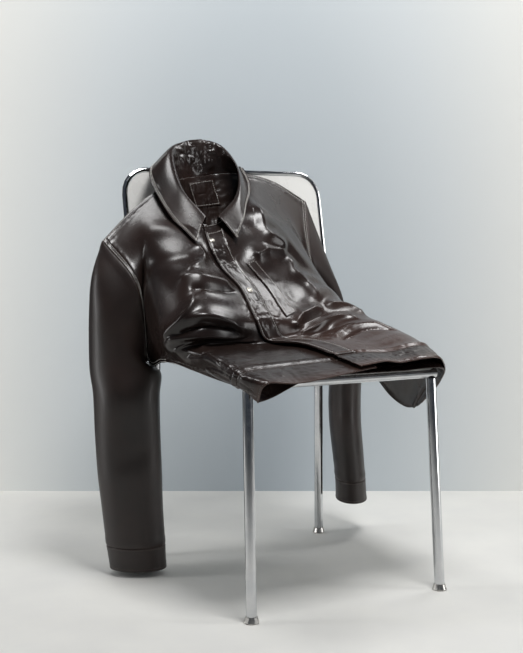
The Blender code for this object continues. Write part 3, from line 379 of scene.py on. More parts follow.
WRINKLE_LEVEL = 0.9  # taken off the wrinkles, so that they rise and sink by about as much
TINY = 1e-9
NO_LENGTH = 1e-12
SAME_PLACE = 1e-6  # seam points this near are one
NOISE_DIRECTION = np.array([12.9898, 78.233, 37.719])
NOISE_SPREAD = 43758.5453

# ---------------------------------------------------------------- stage
EYE = (-1.092123, -1.74891, 0.694617)  # the camera's place
YAW = math.radians(27.356)  # how far it looks to the right of +Y
PITCH = math.radians(4.6508)  # and down
FOCAL_PIXELS = 1116.0  # its focal length, for a frame FRAME_PIXELS high
FRAME_PIXELS = 653
SENSOR = 36.0
FLOOR_HALF_WIDTH = 6.0
FLOOR_BEHIND = 3.00  # how far the floor runs on behind the camera
WALL_AWAY = 3.00  # from the camera to the wall, along the floor
WALL_HALF_WIDTH = 0.85
WALL_HEIGHT = 1.45
# The backdrop's tones, each at a share of its reach across and up: its middle behind the chair, then its far
# edge, then those between.  The cool grey of its middle is painted shade, where the chair's shade falls.
WALL_PAINTED_SHADE_TONES = ((0.0, "#a7b0b7"), (1.0, "#e9e6df"), (0.34, "#b9c0c4"), (0.50, "#c8cdcf"), (0.72, "#dbdcd9"))
WALL_REACH = (1.00, 3.00)
WALL_MIDDLE_HEIGHT = 0.25
LIGHTS = (
    # name, place, what it points at, size, watts
    ("front_softbox", (0.00, -0.55, 2.60), (0, 0.25, 0.4), (0.7, 0.7), 42),
    ("side_softbox", (1.25, 0.55, 2.20), (0, 0.30, 0.5), (0.5, 0.5), 9),
    ("rear_softbox", (-0.45, 0.75, 2.60), (-0.1, 0.35, 0.6), (0.6, 0.6), 12),
)
WALL_LIGHTS = ((-1, 21), (1, 15))  # the side that each stands on, watts
WALL_LIGHT_SIZE = (0.5, 1.8)
WALL_LIGHT_ASIDE = 2.2  # from the wall's middle
WALL_LIGHT_BEFORE = 1.1  # from the wall
WALL_LIGHT_HEIGHT = 0.75
WALL_LIGHT_AIM = (1.0, 0.3)  # aside on the wall, and up it
SKY = ("#c3d0e4", 0.08)

seat_low, seat_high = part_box("seat_sheet")
SEAT_MIDDLE_Y = 0.2465  # of the seat in the chair's own frame
OFFSET = np.array([(seat_low.x + seat_high.x) / 2, (seat_low.y + seat_high.y) / 2 - SEAT_MIDDLE_Y, 0])
AHEAD = np.array([math.sin(YAW), math.cos(YAW), 0])
ASIDE = np.array([math.cos(YAW), -math.sin(YAW), 0])
UNDER_EYE = np.array([EYE[0], EYE[1], 0])
WALL_FOOT = UNDER_EYE + AHEAD * WALL_AWAY


# ---------------------------------------------------------------- curves and nets
def unit(vectors):
    return vectors / np.maximum(np.linalg.norm(vectors, axis=-1, keepdims=True), NO_LENGTH)


def smooth_step(t):
    t = np.clip(t, 0, 1)
    return t * t * (3 - 2 * t)


def hump(far, width):
    """A smooth rise: one where `far` is zero, and nearly nothing two widths away."""
    return np.exp(-((far / width) ** 2))


def spline_weights(knots, t):
    """How much each knot's point counts at each t, on a smooth curve that passes through all the knots."""
    knots = np.asarray(knots, float)
    t = np.asarray(t, float)
    steps = np.diff(knots)
    points = np.eye(len(knots))
    slopes = np.diff(points, axis=0) / steps[:, None]
    tangents = np.empty_like(points)
    tangents[0] = slopes[0]
    tangents[-1] = slopes[-1]
    before, after = steps[:-1, None], steps[1:, None]
    tangents[1:-1] = (slopes[:-1] * after + slopes[1:] * before) / (before + after)
    i = np.clip(np.searchsorted(knots, t, side="right") - 1, 0, len(knots) - 2)
    step = steps[i][..., None]
    f = ((t - knots[i]) / steps[i])[..., None]
    return (
        (1 + 2 * f) * (1 - f) ** 2 * points[i]
        + f * (1 - f) ** 2 * step * tangents[i]
        + f * f * (3 - 2 * f) * points[i + 1]
        + f * f * (f - 1) * step * tangents[i + 1]
    )


def lengths_along(points):
    """How far each point lies from the first one, along a line or along each column of a grid."""
    steps = np.linalg.norm(np.diff(points, axis=0), axis=-1)
    return np.concatenate([np.zeros((1,) + steps.shape[1:]), np.cumsum(steps, axis=0)])


def on_net(net, columns, rows, u, v):
    """The points of a net of sections at columns u and rows v."""
    u, v = np.broadcast_arrays(np.asarray(u, float), np.asarray(v, float))
    across = spline_weights(columns, u)
    along = spline_weights(rows, v)
    return np.einsum("...i,...j,ijk->...k", along, across, net)


def with_placket_columns(sections):
    """A net of seven columns with two more, half a placket's width either side of the centre front."""
    centre = sections[:, 3]
    aside = unit(sections[:, 4] - sections[:, 2]) * PLACKET_WIDTH / 2
    return np.concatenate(
        [
            sections[:, :3],
            np.stack([centre - aside, centre, centre + aside], axis=1),
            sections[:, 4:],
        ],
        axis=1,
    )


def front_net():
    return with_placket_columns(np.array(FRONT_SECTIONS))


def back_net(front):
    """The back's net.  It shares the front's side seams and its shoulders."""
    sections = np.empty((len(BACK_SECTIONS), 7, 3))
    for row, (y, z, left, right, left_drop, right_drop) in enumerate(BACK_SECTIONS):
        sections[row, 1:6, 0] = np.linspace(left, right, 5)
        sections[row, 1:6, 1] = y
        sections[row, 1:6, 2] = z
        for column, drop in ((1, left_drop), (5, right_drop)):
            sections[row, column, 1] -= drop * END_LEAN
            sections[row, column, 2] -= drop
        sections[row, 0] = front[row, 0]
        sections[row, 6] = front[row, -1]
    for side, *place in BACK_ARMHOLE:
        sections[-1, 0 if side < 0 else 6] = place
    return np.concatenate([with_placket_columns(sections), front[-1:]], axis=0)


def neck_row(u):
    """The row at which the front ends: the shoulders, and the neck's curve between them."""
    middle = sum(NECK_COLUMNS) / 2
    inside = 1 - np.clip(np.abs(u - middle) / (NECK_COLUMNS[1] - middle), 0, 1) ** 2
    return LAST_ROW - NECK_DEPTH * np.sqrt(inside)


def grid_normals(points, wrapped=False):
    """Unit normals of a grid.  A wrapped grid closes round its columns."""
    if wrapped:
        along_columns = np.roll(points, -1, axis=1) - np.roll(points, 1, axis=1)
    else:
        along_columns = np.gradient(points, axis=1)
    return unit(np.cross(along_columns, np.gradient(points, axis=0)))


def near_line(points, line):
    """How far each point is from a line through places, and the share of the line before its nearest spot."""
    start, along = line[:-1], np.diff(line, axis=0)
    offset = points[:, None] - start
    part = np.clip(np.sum(offset * along, axis=-1) / np.sum(along * along, axis=-1), 0, 1)
    far = np.linalg.norm(offset - part[..., None] * along, axis=-1)
    closest = far.min(axis=1)
    weight = np.exp((closest[:, None] - far) / NEAR_ENOUGH)
    before = np.sum(weight * (np.arange(len(along)) + part), axis=1) / np.sum(weight, axis=1)
    return closest, before / len(along)


def fold_heights(points, place, folds):
    """The height of all folds at each point.  `place(u, v)` gives the points of a fold's own line."""
    total = np.zeros(points.shape[:2])
    flat = points.reshape(-1, 3)
    along = np.linspace(0, 1, FOLD_STEPS)
    for _, u0, v0, u1, v1, bow, width, height in folds:
        bend = bow * 4 * along * (1 - along)
        line = place(u0 + (u1 - u0) * along - bend * (v1 - v0), v0 + (v1 - v0) * along + bend * (u1 - u0))
        far, done = near_line(flat, line)
        fade = np.sin(math.pi * np.clip(done, *FOLD_ENDS)) ** FOLD_ROUNDNESS
        total += (height * fade * hump(far, width)).reshape(total.shape)
    return total


# ---------------------------------------------------------------- panels
def square_to_edge(edge, inside):
    along = unit(np.gradient(edge, axis=0))
    into = inside - edge
    return unit(into - along * np.sum(into * along, axis=-1, keepdims=True))


class Panel:
    """A grid of points with a normal at each, which becomes one wall.

    `side` is -1 on the collar, which folds over: at its seam its normals point in, and at its edge out.
    """

    def __init__(self, name, points, wrapped=False, normals=None, half=LEATHER / 2, side=1):
        self.name = name
        self.points = points
        self.wrapped = wrapped
        self.normals = grid_normals(points, wrapped) if normals is None else normals
        self.half = half
        self.side = side
        self.flipped = np.sum(self.normals * grid_normals(points, wrapped)) < 0
        self.marks = {}

    def inward(self):
        """At each edge point, the direction into the panel square to its edge; zero elsewhere."""
        into = np.zeros_like(self.points)
        into[0] += square_to_edge(self.points[0], self.points[1])
        into[-1] += square_to_edge(self.points[-1], self.points[-2])
        if not self.wrapped:
            into[:, 0] += square_to_edge(self.points[:, 0], self.points[:, 1])
            into[:, -1] += square_to_edge(self.points[:, -1], self.points[:, -2])
        return unit(into) * (np.linalg.norm(into, axis=-1, keepdims=True) > 0)


def part_seams(panels):
    """Gives panels that share a seam the same normal along it, and moves each back from it."""
    shared = {}
    inwards = [panel.inward() for panel in panels]
    for index, panel in enumerate(panels):
        for place in zip(*np.nonzero(np.linalg.norm(inwards[index], axis=-1) > 0)):
            key = tuple(np.round(panel.points[place] / SAME_PLACE).astype(int))
            shared.setdefault(key, []).append((index, place))
    for users in shared.values():
        if len({index for index, _ in users}) < 2:
            continue
        total = sum(panels[index].side * panels[index].normals[place] for index, place in users)
        into = [inwards[index][place] for index, place in users]
        middle = np.mean(into, axis=0)
        normal = unit(total + math.copysign(len(users), np.dot(total, middle)) * middle)
        for (index, place), direction in zip(users, into):
            panels[index].normals[place] = panels[index].side * normal
            panels[index].points[place] += unit(direction - middle) * SEAM_GAP / 2


# ---------------------------------------------------------------- the body of the jacket
def finer(lines, times=FINE):
    """The places of grid lines with more of them between each two."""
    steps = np.arange((len(lines) - 1) * times + 1) / times
    return np.interp(steps, np.arange(len(lines)), lines)


def body_grid(net, u, v, is_front):
    """The grid of a body panel before folds.  The front's upper rows close up to the neck's curve."""
    u, v = np.meshgrid(u, v)
    if is_front:
        low = UNDERARM_ROW - 1
        v = np.where(v > low, low + (v - low) * (neck_row(u) - low) / (LAST_ROW - low), v)
    return on_net(net, COLUMN_KNOTS, range(len(net)), u, v)


def seam_fade(u, v):
    """Zero on the side seams, armholes, shoulders and hem, and one away from them."""
    u, v = np.meshgrid(u, v)
    side, top, bottom = SEAM_FADE
    aside = smooth_step(np.minimum(u, LAST_COLUMN - u) / side)
    return aside * smooth_step((LAST_ROW - v) / top) * smooth_step(v / bottom)


def edge_fade(u, v):
    """Zero on the side seams, armholes, shoulders and neck, and one a little way from them."""
    u, v = np.meshgrid(u, v)
    aside = smooth_step(np.minimum(u, LAST_COLUMN - u) / EDGE_FADE)
    return aside * smooth_step((LAST_ROW - v) / EDGE_FADE)


def lattice_noise(points, size, seed):
    """Smooth random heights from -1 to 1, the same for the same place."""
    cells = points / size + seed
    low = np.floor(cells)
    part = smooth_step(cells - low)
    total = np.zeros(points.shape[:-1])
    for corner in np.ndindex(2, 2, 2):
        mixed = np.sin((low + corner) @ NOISE_DIRECTION) * NOISE_SPREAD
        weight = np.prod(np.where(corner, part, 1 - part), axis=-1)
        total += weight * (mixed - np.floor(mixed))
    return 2 * total - 1


def wrinkles(points, size, seed, finer_seed):
    """Pillowed wrinkles with sharp valleys, each with finer ones on it."""
    broad = np.abs(lattice_noise(points, size, seed))
    fine = np.abs(lattice_noise(points, size / 2, finer_seed))
    return 2 * (broad + 0.5 * fine) - WRINKLE_LEVEL


def crumple_heights(points, u, v, crumples):
    """The height at each point of the wrinkles in a panel's crumpled patches, whose edges are soft."""
    u, v = np.meshgrid(u, v)
    total = np.zeros(points.shape[:2])
    for seed, (_, column, row, reach_u, reach_v, height, size) in enumerate(crumples):
        far = ((u - column) / reach_u) ** 2 + ((v - row) / reach_v) ** 2
        patch = smooth_step(PATCH_END - far)
        total += height * patch * wrinkles(points, size, seed, seed + 0.5)
    return total


def stand_apart(front, back, v):
    """Moves the front and the back apart beside their seams, wherever they come closer than cloth allows.

    Low down the back rests on the seat, so there it is the front that moves.
    """
    columns = np.arange(front.shape[1]) / FINE
    from_seam = np.minimum(columns, columns[::-1])
    beside = 1 - smooth_step((from_seam - PUSH_COLUMNS[0]) / PUSH_COLUMNS[1])
    beside = beside * smooth_step((LAST_ROW - v) / PUSH_FADE)[:, None]
    wanted = APART * smooth_step(from_seam)
    facing = grid_normals(back)
    gap = np.einsum("ijk,ijk->ij", front - back, facing)
    push = facing * (np.clip(wanted - gap, 0, MOST_PUSH) * beside)[..., None]
    low = (1 - smooth_step((v - SEAT_ROWS[0]) / SEAT_ROWS[1]))[:, None, None]
    return front + push * low, back - push * (1 - low)


def raise_front(u, v):
    """How far the right front lies out from the left one under it, further low down where the front lies
    open.
    """
    u, v = np.meshgrid(u, v)
    over = 1 - smooth_step((u - PLACKET_EDGES[1]) / OVERLAP_FADE)
    low = 1 - smooth_step((v - LOWER_ROWS[0]) / LOWER_ROWS[1])
    return over * (LAYER + (LOWER_GAP - LAYER) * low)


def make_body():
    """Grids of the front and the back, whose seams match point for point."""
    front = front_net()
    back = back_net(front)
    u = finer(ACROSS)
    v = finer(HEM_ROWS + BODY_ROWS + ARM_ROWS)
    front_points = body_grid(front, u, v, True)
    back_points = body_grid(back, u, v, False)
    front_points, back_points = stand_apart(front_points, back_points, v)
    side = v <= UNDERARM_ROW + TINY
    back_points[side, 0] = front_points[side, 0]
    back_points[side, -1] = front_points[side, -1]
    underarm = front_points[np.abs(v - UNDERARM_ROW).argmin()]
    armholes = [
        np.concatenate([underarm[edge][None], front_points[~side, edge], back_points[~side, edge][-2::-1]])
        for edge in (0, -1)
    ]
    normals = grid_normals(front_points)

    def place(column, row):
        return on_net(front, COLUMN_KNOTS, range(len(front)), column, row)

    heights = FRONT_FOLD_SHARE * fold_heights(front_points, place, FRONT_FOLDS) * seam_fade(u, v)
    front_points = front_points + normals * heights[..., None]
    creases = crease_heights(front_points, u, v, FRONT_CREASES) * seam_fade(u, v)
    front_points = front_points + normals * creases[..., None]
    for points, facing, crumples in (
        (front_points, normals, FRONT_CRUMPLES),
        (back_points, grid_normals(back_points), BACK_CRUMPLES),
    ):
        heights = crumple_heights(points, u, v, crumples) * edge_fade(u, v)
        points += facing * heights[..., None]
    return u, v, front_points, normals, back_points, armholes


def read_grid(grid, u, v, columns, rows):
    """A grid's points read between its own lines, at net columns and rows."""
    across = np.interp(columns, u, np.arange(len(u)))
    down = np.interp(rows, v, np.arange(len(v)))
    i = np.clip(down.astype(int), 0, len(v) - 2)
    j = np.clip(across.astype(int), 0, len(u) - 2)
    f = (down - i)[..., None]
    g = (across - j)[..., None]
    upper = grid[i, j] * (1 - g) + grid[i, j + 1] * g
    lower = grid[i + 1, j] * (1 - g) + grid[i + 1, j + 1] * g
    return upper * (1 - f) + lower * f


def crease_heights(grid, u, v, creases):
    """The height at each point of creases that run through net places, steep beside a narrow crest.

    Where creases of one kind cross, the result is little more than the higher of them, not their sum.
    """
    flat = grid.reshape(-1, 3)
    cubes = {1: np.zeros(len(flat)), -1: np.zeros(len(flat))}
    for _, width, height, crest, places in creases:
        knots = np.arange(len(places))
        steps = np.linspace(0, len(places) - 1, CREASE_STEPS * len(places))
        columns, rows = (spline_weights(knots, steps) @ np.array(places)).T
        line = read_grid(grid, u, v, columns, rows)
        reach = CREASE_REACH * width
        near = np.all((flat > line.min(axis=0) - reach) & (flat < line.max(axis=0) + reach), axis=1)
        far, done = near_line(flat[near], line)
        fade = smooth_step(done / CREASE_TAPER) * smooth_step((1 - done) / CREASE_TAPER)
        profile = np.exp((crest - np.sqrt(far**2 + crest**2)) / width)
        profile *= smooth_step((CREASE_REACH - far / width) / (CREASE_REACH / 2))
        cubes[1 if height > 0 else -1][near] += (abs(height) * fade * profile) ** 3
    return (np.cbrt(cubes[1]) - np.cbrt(cubes[-1])).reshape(grid.shape[:2])


def make_patch(name, grid, u, v, corners, lines, lift):
    """A thin piece lying on a panel: the panel's points between four places, moved out by `lift`."""
    a, b, c, d = np.array(corners)
    down, across = np.meshgrid(np.linspace(0, 1, lines[0]), np.linspace(0, 1, lines[1]), indexing="ij")
    down = down[..., None]
    across = across[..., None]
    places = (a * (1 - across) + b * across) * (1 - down) + (d * (1 - across) + c * across) * down
    outwards = unit(read_grid(grid_normals(grid), u, v, places[..., 0], places[..., 1]))
    points = read_grid(grid, u, v, places[..., 0], places[..., 1]) + outwards * lift
    return Panel(name, points, normals=outwards, half=PATCH / 2)


def body_panels(u, v, front, lifted, back):
    """The fronts, the back and their hem bands.  The right front, which overlaps, is cut from `lifted`."""
    hem = v <= 1 + TINY
    body = v >= 1 - TINY
    left = u <= PLACKET_EDGES[1] - LEFT_SHORT
    right = u >= PLACKET_EDGES[0] - TINY
    panels = {
        "front_left": Panel("front_left", front[body][:, left].copy()),
        "front_right": Panel("front_right", lifted[body][:, right].copy()),
        "hem_band_front_left": Panel("hem_band_front_left", front[hem][:, left].copy()),
        "hem_band_front_right": Panel("hem_band_front_right", lifted[hem][:, right].copy()),
        "back": Panel("back", back[body].copy()),
        "hem_band_back": Panel("hem_band_back", back[hem].copy()),
    }
    for name in ("back", "hem_band_back"):
        panels[name].normals = -panels[name].normals
    return panels


def make_placket(u, v, lifted, lift):
    """The folded strip down the overlapping front's edge."""
    facing = grid_normals(lifted)
    strip = (u >= PLACKET_EDGES[0] - TINY) & (u <= PLACKET_EDGES[1] + TINY)
    rows = (v >= 1 - TINY) & (v < PLACKET_TOP + TINY)
    points = (lifted + facing * lift)[rows][:, strip]
    return Panel("placket", points, normals=facing[rows][:, strip], half=PATCH / 2)


def place_snaps(u, v, lifted, lift):
    """Each snap's name, the place and the direction of its base, and its radius."""
    facing = grid_normals(lifted)
    snaps = []
    for name, column, row, radius in SNAPS:
        normal = unit(read_grid(facing, u, v, column, row))
        base = read_grid(lifted, u, v, column, row) + normal * (lift + PATCH / 2 + PATCH_GAP)
        snaps.append((name, base, normal, radius))
    return snaps


def make_panels():
    """All the panels, sewn together, with the places of the snaps and the rows of topstitching."""
    u, v, front, outwards, back, armholes = make_body()
    lifted = front + outwards * raise_front(u, v)[..., None]
    panels = body_panels(u, v, front, lifted, back)
    for side, armhole, rings in (
        ("left", armholes[0], LEFT_SLEEVE_RINGS),
        ("right", armholes[1], RIGHT_SLEEVE_RINGS),
    ):
        for piece in make_sleeve(side, armhole, rings):
            panels[piece.name] = piece
    panels["collar"] = make_collar(u, front, lifted, back)
    crumple_lining(panels["collar"])
    part_seams(list(panels.values()))
    lift = LEATHER / 2 + PATCH_GAP + PATCH / 2
    panels["placket"] = make_placket(u, v, lifted, lift)
    for name, grid, corners, lines, raised in (
        ("chest_welt", lifted, CHEST_WELT, WELT_GRID, WELT_RAISED),
        ("neck_label", back, NECK_LABEL, LABEL_GRID, LABEL_RAISED),
    ):
        panels[name] = make_patch(name, grid, u, v, corners, lines, lift + raised)
    return panels, place_snaps(u, v, lifted, lift), sew(panels)


def crumple_lining(collar):
    """Crumples the lining inside the collar's stand, where the label's seam gathers it."""
    along, up, reach_along, reach_up, height, size = LINING_CRUMPLE
    rows, columns = collar.points.shape[:2]
    v, u = np.meshgrid(np.linspace(0, 1, rows), np.linspace(0, 1, columns), indexing="ij")
    patch = smooth_step(PATCH_END - ((u - along) / reach_along) ** 2 - ((v - up) / reach_up) ** 2)
    patch *= smooth_step(v / LINING_FADE)
    heights = height * patch * wrinkles(collar.points, size, *LINING_SEEDS)
    collar.points += collar.normals * heights[..., None]


# ---------------------------------------------------------------- sleeves
def make_sleeve(side, armhole, rings):
    """A tube from the armhole through the rings, cut into the sleeve and its cuff."""
    sign = -1 if side == "left" else 1
    turns = np.arange(len(armhole)) / len(armhole)
    net = [armhole]
    for index, (x, y, z, half_across, half_deep, slope) in enumerate(rings):
        turn = SLEEVE_TURN * min(1, (index + 1) / 2)
        across = np.array([math.cos(turn), -math.sin(turn), 0])
        deep = np.array([math.sin(turn), math.cos(turn), 0])
        out = -np.cos(2 * math.pi * turns) * half_across
        forward = np.sin(2 * math.pi * turns) * half_deep
        ring = np.array([x, y, z]) + sign * out[:, None] * across - forward[:, None] * deep
        ring[:, 2] += out * slope
        net.append(ring)
    net = np.array(net)
    middles = net.mean(axis=1)
    length = lengths_along(middles)
    cuff_start = np.interp(length[-1] - CUFF_LENGTH, length, np.arange(len(net)))
    upper = np.linspace(0, 2, SLEEVE_LINES[0])[:-1]
    rows = finer(np.concatenate([upper, np.linspace(2, cuff_start, SLEEVE_LINES[1])]), SLEEVE_FINE)
    cuff_rows = np.linspace(cuff_start, len(net) - 1, CUFF_LINES)

    def tube(at_rows):
        return np.einsum("ri,ijk->rjk", spline_weights(range(len(net)), at_rows), net)

    def place(turn, row):
        looped = np.concatenate([net, net[:, :1]], axis=1)
        return on_net(looped, np.append(turns, 1), range(len(net)), turn, row)

    outward = -sign
    made = []
    for name, at_rows in (("sleeve_" + side, rows), ("cuff_" + side, cuff_rows)):
        points = tube(at_rows)
        normals = grid_normals(points, wrapped=True) * outward
        if name.startswith("sleeve"):
            fade = smooth_step(at_rows / SLEEVE_FADE[0])
            fade *= smooth_step((cuff_start - at_rows) / SLEEVE_FADE[1])
            heights = SLEEVE_FOLD_SHARE * fold_heights(points, place, SLEEVE_FOLDS) * fade[:, None]
            points = points + normals * heights[..., None]
            normals = grid_normals(points, wrapped=True) * outward
        made.append(Panel(name, points, wrapped=True, normals=normals))
    return made


# ---------------------------------------------------------------- collar
def lift_off(points, panel, gap, reach=0.02):
    """Moves each point within reach of a panel out, until it is `gap` clear of it."""
    surface = panel.reshape(-1, 3)
    normals = grid_normals(panel).reshape(-1, 3)
    tree = kdtree.KDTree(len(surface))
    for index, place in enumerate(surface):
        tree.insert(place, index)
    tree.balance()
    flat = points.reshape(-1, 3)
    found = [tree.find(point) for point in flat]
    nearest = np.array([index for _, index, _ in found])
    far = np.array([distance for _, _, distance in found])
    depth = np.einsum("ij,ij->i", flat - surface[nearest], normals[nearest])
    short = np.clip(np.broadcast_to(gap, points.shape[:2]).reshape(-1) - depth, 0, None)
    moved = flat + normals[nearest] * (short * (far < reach))[:, None]
    return moved.reshape(points.shape)


def make_collar(u, front, lifted, back):
    """One piece from the neck seam up to where it rolls over, and down to its free edge."""
    low, high = NECK_COLUMNS
    middle = sum(NECK_COLUMNS) / 2
    right = (u >= middle + COLLAR_ENDS - TINY) & (u <= high + TINY)
    left = (u >= low - TINY) & (u <= middle - COLLAR_ENDS + TINY)
    nape = (u > low + TINY) & (u < high - TINY)
    ends = (u[right].min(), u[left].max())
    seam = np.concatenate([lifted[-1, right], back[-1, nape][::-1], front[-1, left]])
    place = np.concatenate(
        [
            2 * (u[right] - ends[0]) / (high - ends[0]),
            2 + 2 * (high - u[nape][::-1]),
            6 + 2 * (u[left] - low) / (ends[1] - low),
        ]
    )
    sections = np.array(COLLAR_SECTIONS)
    weights = spline_weights(range(len(sections)), place)
    roll = weights @ sections[:, :3]
    edge = weights @ sections[:, 3:]
    profile = np.stack([seam, roll, edge], axis=0)
    steps = finer(COLLAR_STEPS)
    points = np.einsum("ri,ijk->rjk", spline_weights((0, COLLAR_ROLL, 1), steps), profile)
    rest = COLLAR_REST * smooth_step(steps / COLLAR_SETTLED)[1:, None]
    for chest in (front, lifted):
        for _ in range(2):
            points[1:] = lift_off(points[1:], chest, rest)
    return Panel("collar", points, normals=-grid_normals(points), side=-1)


# ---------------------------------------------------------------- seams and stitches
def turned_to(grid, edge):
    """A grid turned so that the named edge is its first row, and the rest follow inwards."""
    if edge in ("left", "right"):
        grid = grid.swapaxes(0, 1)
    return grid[::-1] if edge in ("top", "right") else grid


def from_edge(panel, edge):
    """How far each point is from an edge, along the panel's own lines, in the grid turned to that edge."""
    return lengths_along(turned_to(panel.points, edge))


def press_seam(panel, edge, rows, puff):
    """Rolls a seamed edge up, sinks its rows of stitches, and puckers the leather between them.

    `rows` are the stitch rows' distances from the edge, and `puff` lifts the leather behind them.
    """
    points = turned_to(panel.points, edge)
    normals = turned_to(panel.normals, edge)
    far = from_edge(panel, edge)
    behind = far - rows[-1]
    height = puff * hump(behind - PUFF_PLACE, PUFF_WIDTH)
    height += SEAM_ROLL * hump(far - ROLL_PLACE, ROLL_WIDTH) * smooth_step(far / ROLL_PLACE)
    for row in rows:
        height -= STITCH_SINK * hump(far - row, SINK_WIDTH)
    pucker = lattice_noise(points, PUCKER_SIZE, PUCKER_SEED) * hump(behind - PUCKER_PLACE, PUCKER_WIDTH)
    height += PUCKER * pucker
    points += normals * height[..., None]


def inside_line(panel, edge, distance):
    """Points and normals of a line that follows an edge, a distance in from it."""
    points = turned_to(panel.points, edge)
    normals = turned_to(panel.normals, edge)
    far = from_edge(panel, edge)
    below = np.clip((far <= distance).sum(axis=0) - 1, 0, len(far) - 2)
    column = np.arange(points.shape[1])
    part = (distance - far[below, column]) / np.maximum(far[below + 1, column] - far[below, column], TINY)
    part = np.clip(part, 0, 1)[:, None]
    line = points[below, column] * (1 - part) + points[below + 1, column] * part
    outwards = normals[below, column] * (1 - part) + normals[below + 1, column] * part
    if panel.wrapped:
        line = np.concatenate([line, line[:1]])
        outwards = np.concatenate([outwards, outwards[:1]])
    return line + unit(outwards) * panel.half, unit(outwards)


def part_of(line, outwards, start, end):
    """The stretch of a line between two shares of its length."""
    length = lengths_along(line)
    kept = (length >= start * length[-1] - TINY) & (length <= end * length[-1] + TINY)
    return line[kept], outwards[kept]


def read_along(values, length, at):
    """Values given at each length along a line, read at other lengths."""
    return np.stack([np.interp(at, length, values[:, axis]) for axis in range(3)], axis=-1)


def stitch_shapes(line, outwards):
    """Vertices of a row of stitches along a line: each a grain of rice, its ends sunk in the leather."""
    length = lengths_along(line)
    count = int(length[-1] / STITCH_PITCH)
    if count < 1:
        return np.zeros((0, STITCH_CORNERS, 3))
    at = (np.arange(count) + 0.5) * length[-1] / count
    middle = read_along(line, length, at)
    ahead = read_along(line, length, at + STITCH_STEP)
    behind = read_along(line, length, at - STITCH_STEP)
    up = unit(read_along(outwards, length, at))
    along = unit(ahead - behind)
    aside = np.cross(along, up)
    angles = np.arange(STITCH_SIDES) * 2 * math.pi / STITCH_SIDES
    ring = np.cos(angles)[:, None, None] * aside + np.sin(angles)[:, None, None] * up
    ring = ring.transpose(1, 0, 2) * STITCH_WIDTH / 2
    middle = (middle + up * STITCH_WIDTH * STITCH_PROUD)[:, None]
    half = along[:, None] * STITCH_LENGTH / 2
    sunk = up[:, None] * STITCH_WIDTH * STITCH_DIP
    tips = (middle - half - sunk, middle + half - sunk)
    rings = (middle - half * STITCH_BELLY + ring, middle + half * STITCH_BELLY + ring)
    return np.concatenate([tips[0], *rings, tips[1]], axis=1)


def add_stitches(name, lines, look):
    """One piece holding rows of stitches, each stitch a closed shape of its own."""
    shapes = np.concatenate([stitch_shapes(line, outwards) for line, outwards in lines])
    around = np.arange(STITCH_SIDES)
    near = 1 + around
    near_after = 1 + (around + 1) % STITCH_SIDES
    far, far_after = near + STITCH_SIDES, near_after + STITCH_SIDES
    first = np.stack([np.zeros_like(near), near_after, near], axis=1)
    sides = np.concatenate([np.stack([near, near_after, far_after], 1), np.stack([near, far_after, far], 1)])
    last = np.stack([np.full_like(near, STITCH_CORNERS - 1), far, far_after], axis=1)
    faces = np.concatenate([first, sides, last])
    faces = (np.arange(len(shapes))[:, None, None] * STITCH_CORNERS + faces).reshape(-1, 3)
    return add_mesh(name, shapes.reshape(-1, 3), faces, look)


def sew(panels):
    """Presses the seams and returns the rows of topstitching, by the panel that they run on."""
    for names, edges, rows, puff in SEAMS:
        for name, edge in product(names.split(), edges.split()):
            press_seam(panels[name], edge, rows, puff)
    for name, step in THINNED.items():
        panels[name].points = panels[name].points[::2, ::step]
        panels[name].normals = panels[name].normals[::2, ::step]
    lines = {}
    for names, edges, distance, start, end in STITCH_ROWS:
        for name, edge in product(names.split(), edges.split()):
            line = inside_line(panels[name], edge, distance)
            lines.setdefault(name, []).append(part_of(*line, start, end))
    for panel in panels.values():
        wear_down(panel)
    return lines


def wear_down(panel):
    """Marks where the leather has worn, along its edges and towards the bottom, and how dull it is."""
    edges = ("bottom", "top") if panel.wrapped else ("bottom", "top", "left", "right")
    wear = np.zeros(panel.points.shape[:2])
    for edge in edges:
        beside = turned_to(wear, edge)
        beside += EDGE_WEAR * hump(from_edge(panel, edge), EDGE_WEAR_WIDTH)
    low = 1 - smooth_step(np.linspace(0, 1, len(wear)) / WARMTH_REACH)
    warmth = WARMTH.get(panel.name, 0) * low[:, None]
    panel.marks["wear"] = wear + warmth
    panel.marks["dull"] = np.full_like(wear, DULLNESS.get(panel.name, 0.0))


# ---------------------------------------------------------------- shells
def perimeter(number, wrapped):
    """The edge loops of a grid of vertex numbers, each running the way its faces do."""
    if wrapped:
        return [number[0], number[-1][::-1]]
    return [
        np.concatenate([number[0, :-1], number[:-1, -1], number[-1, :0:-1], number[:0:-1, 0]]),
    ]


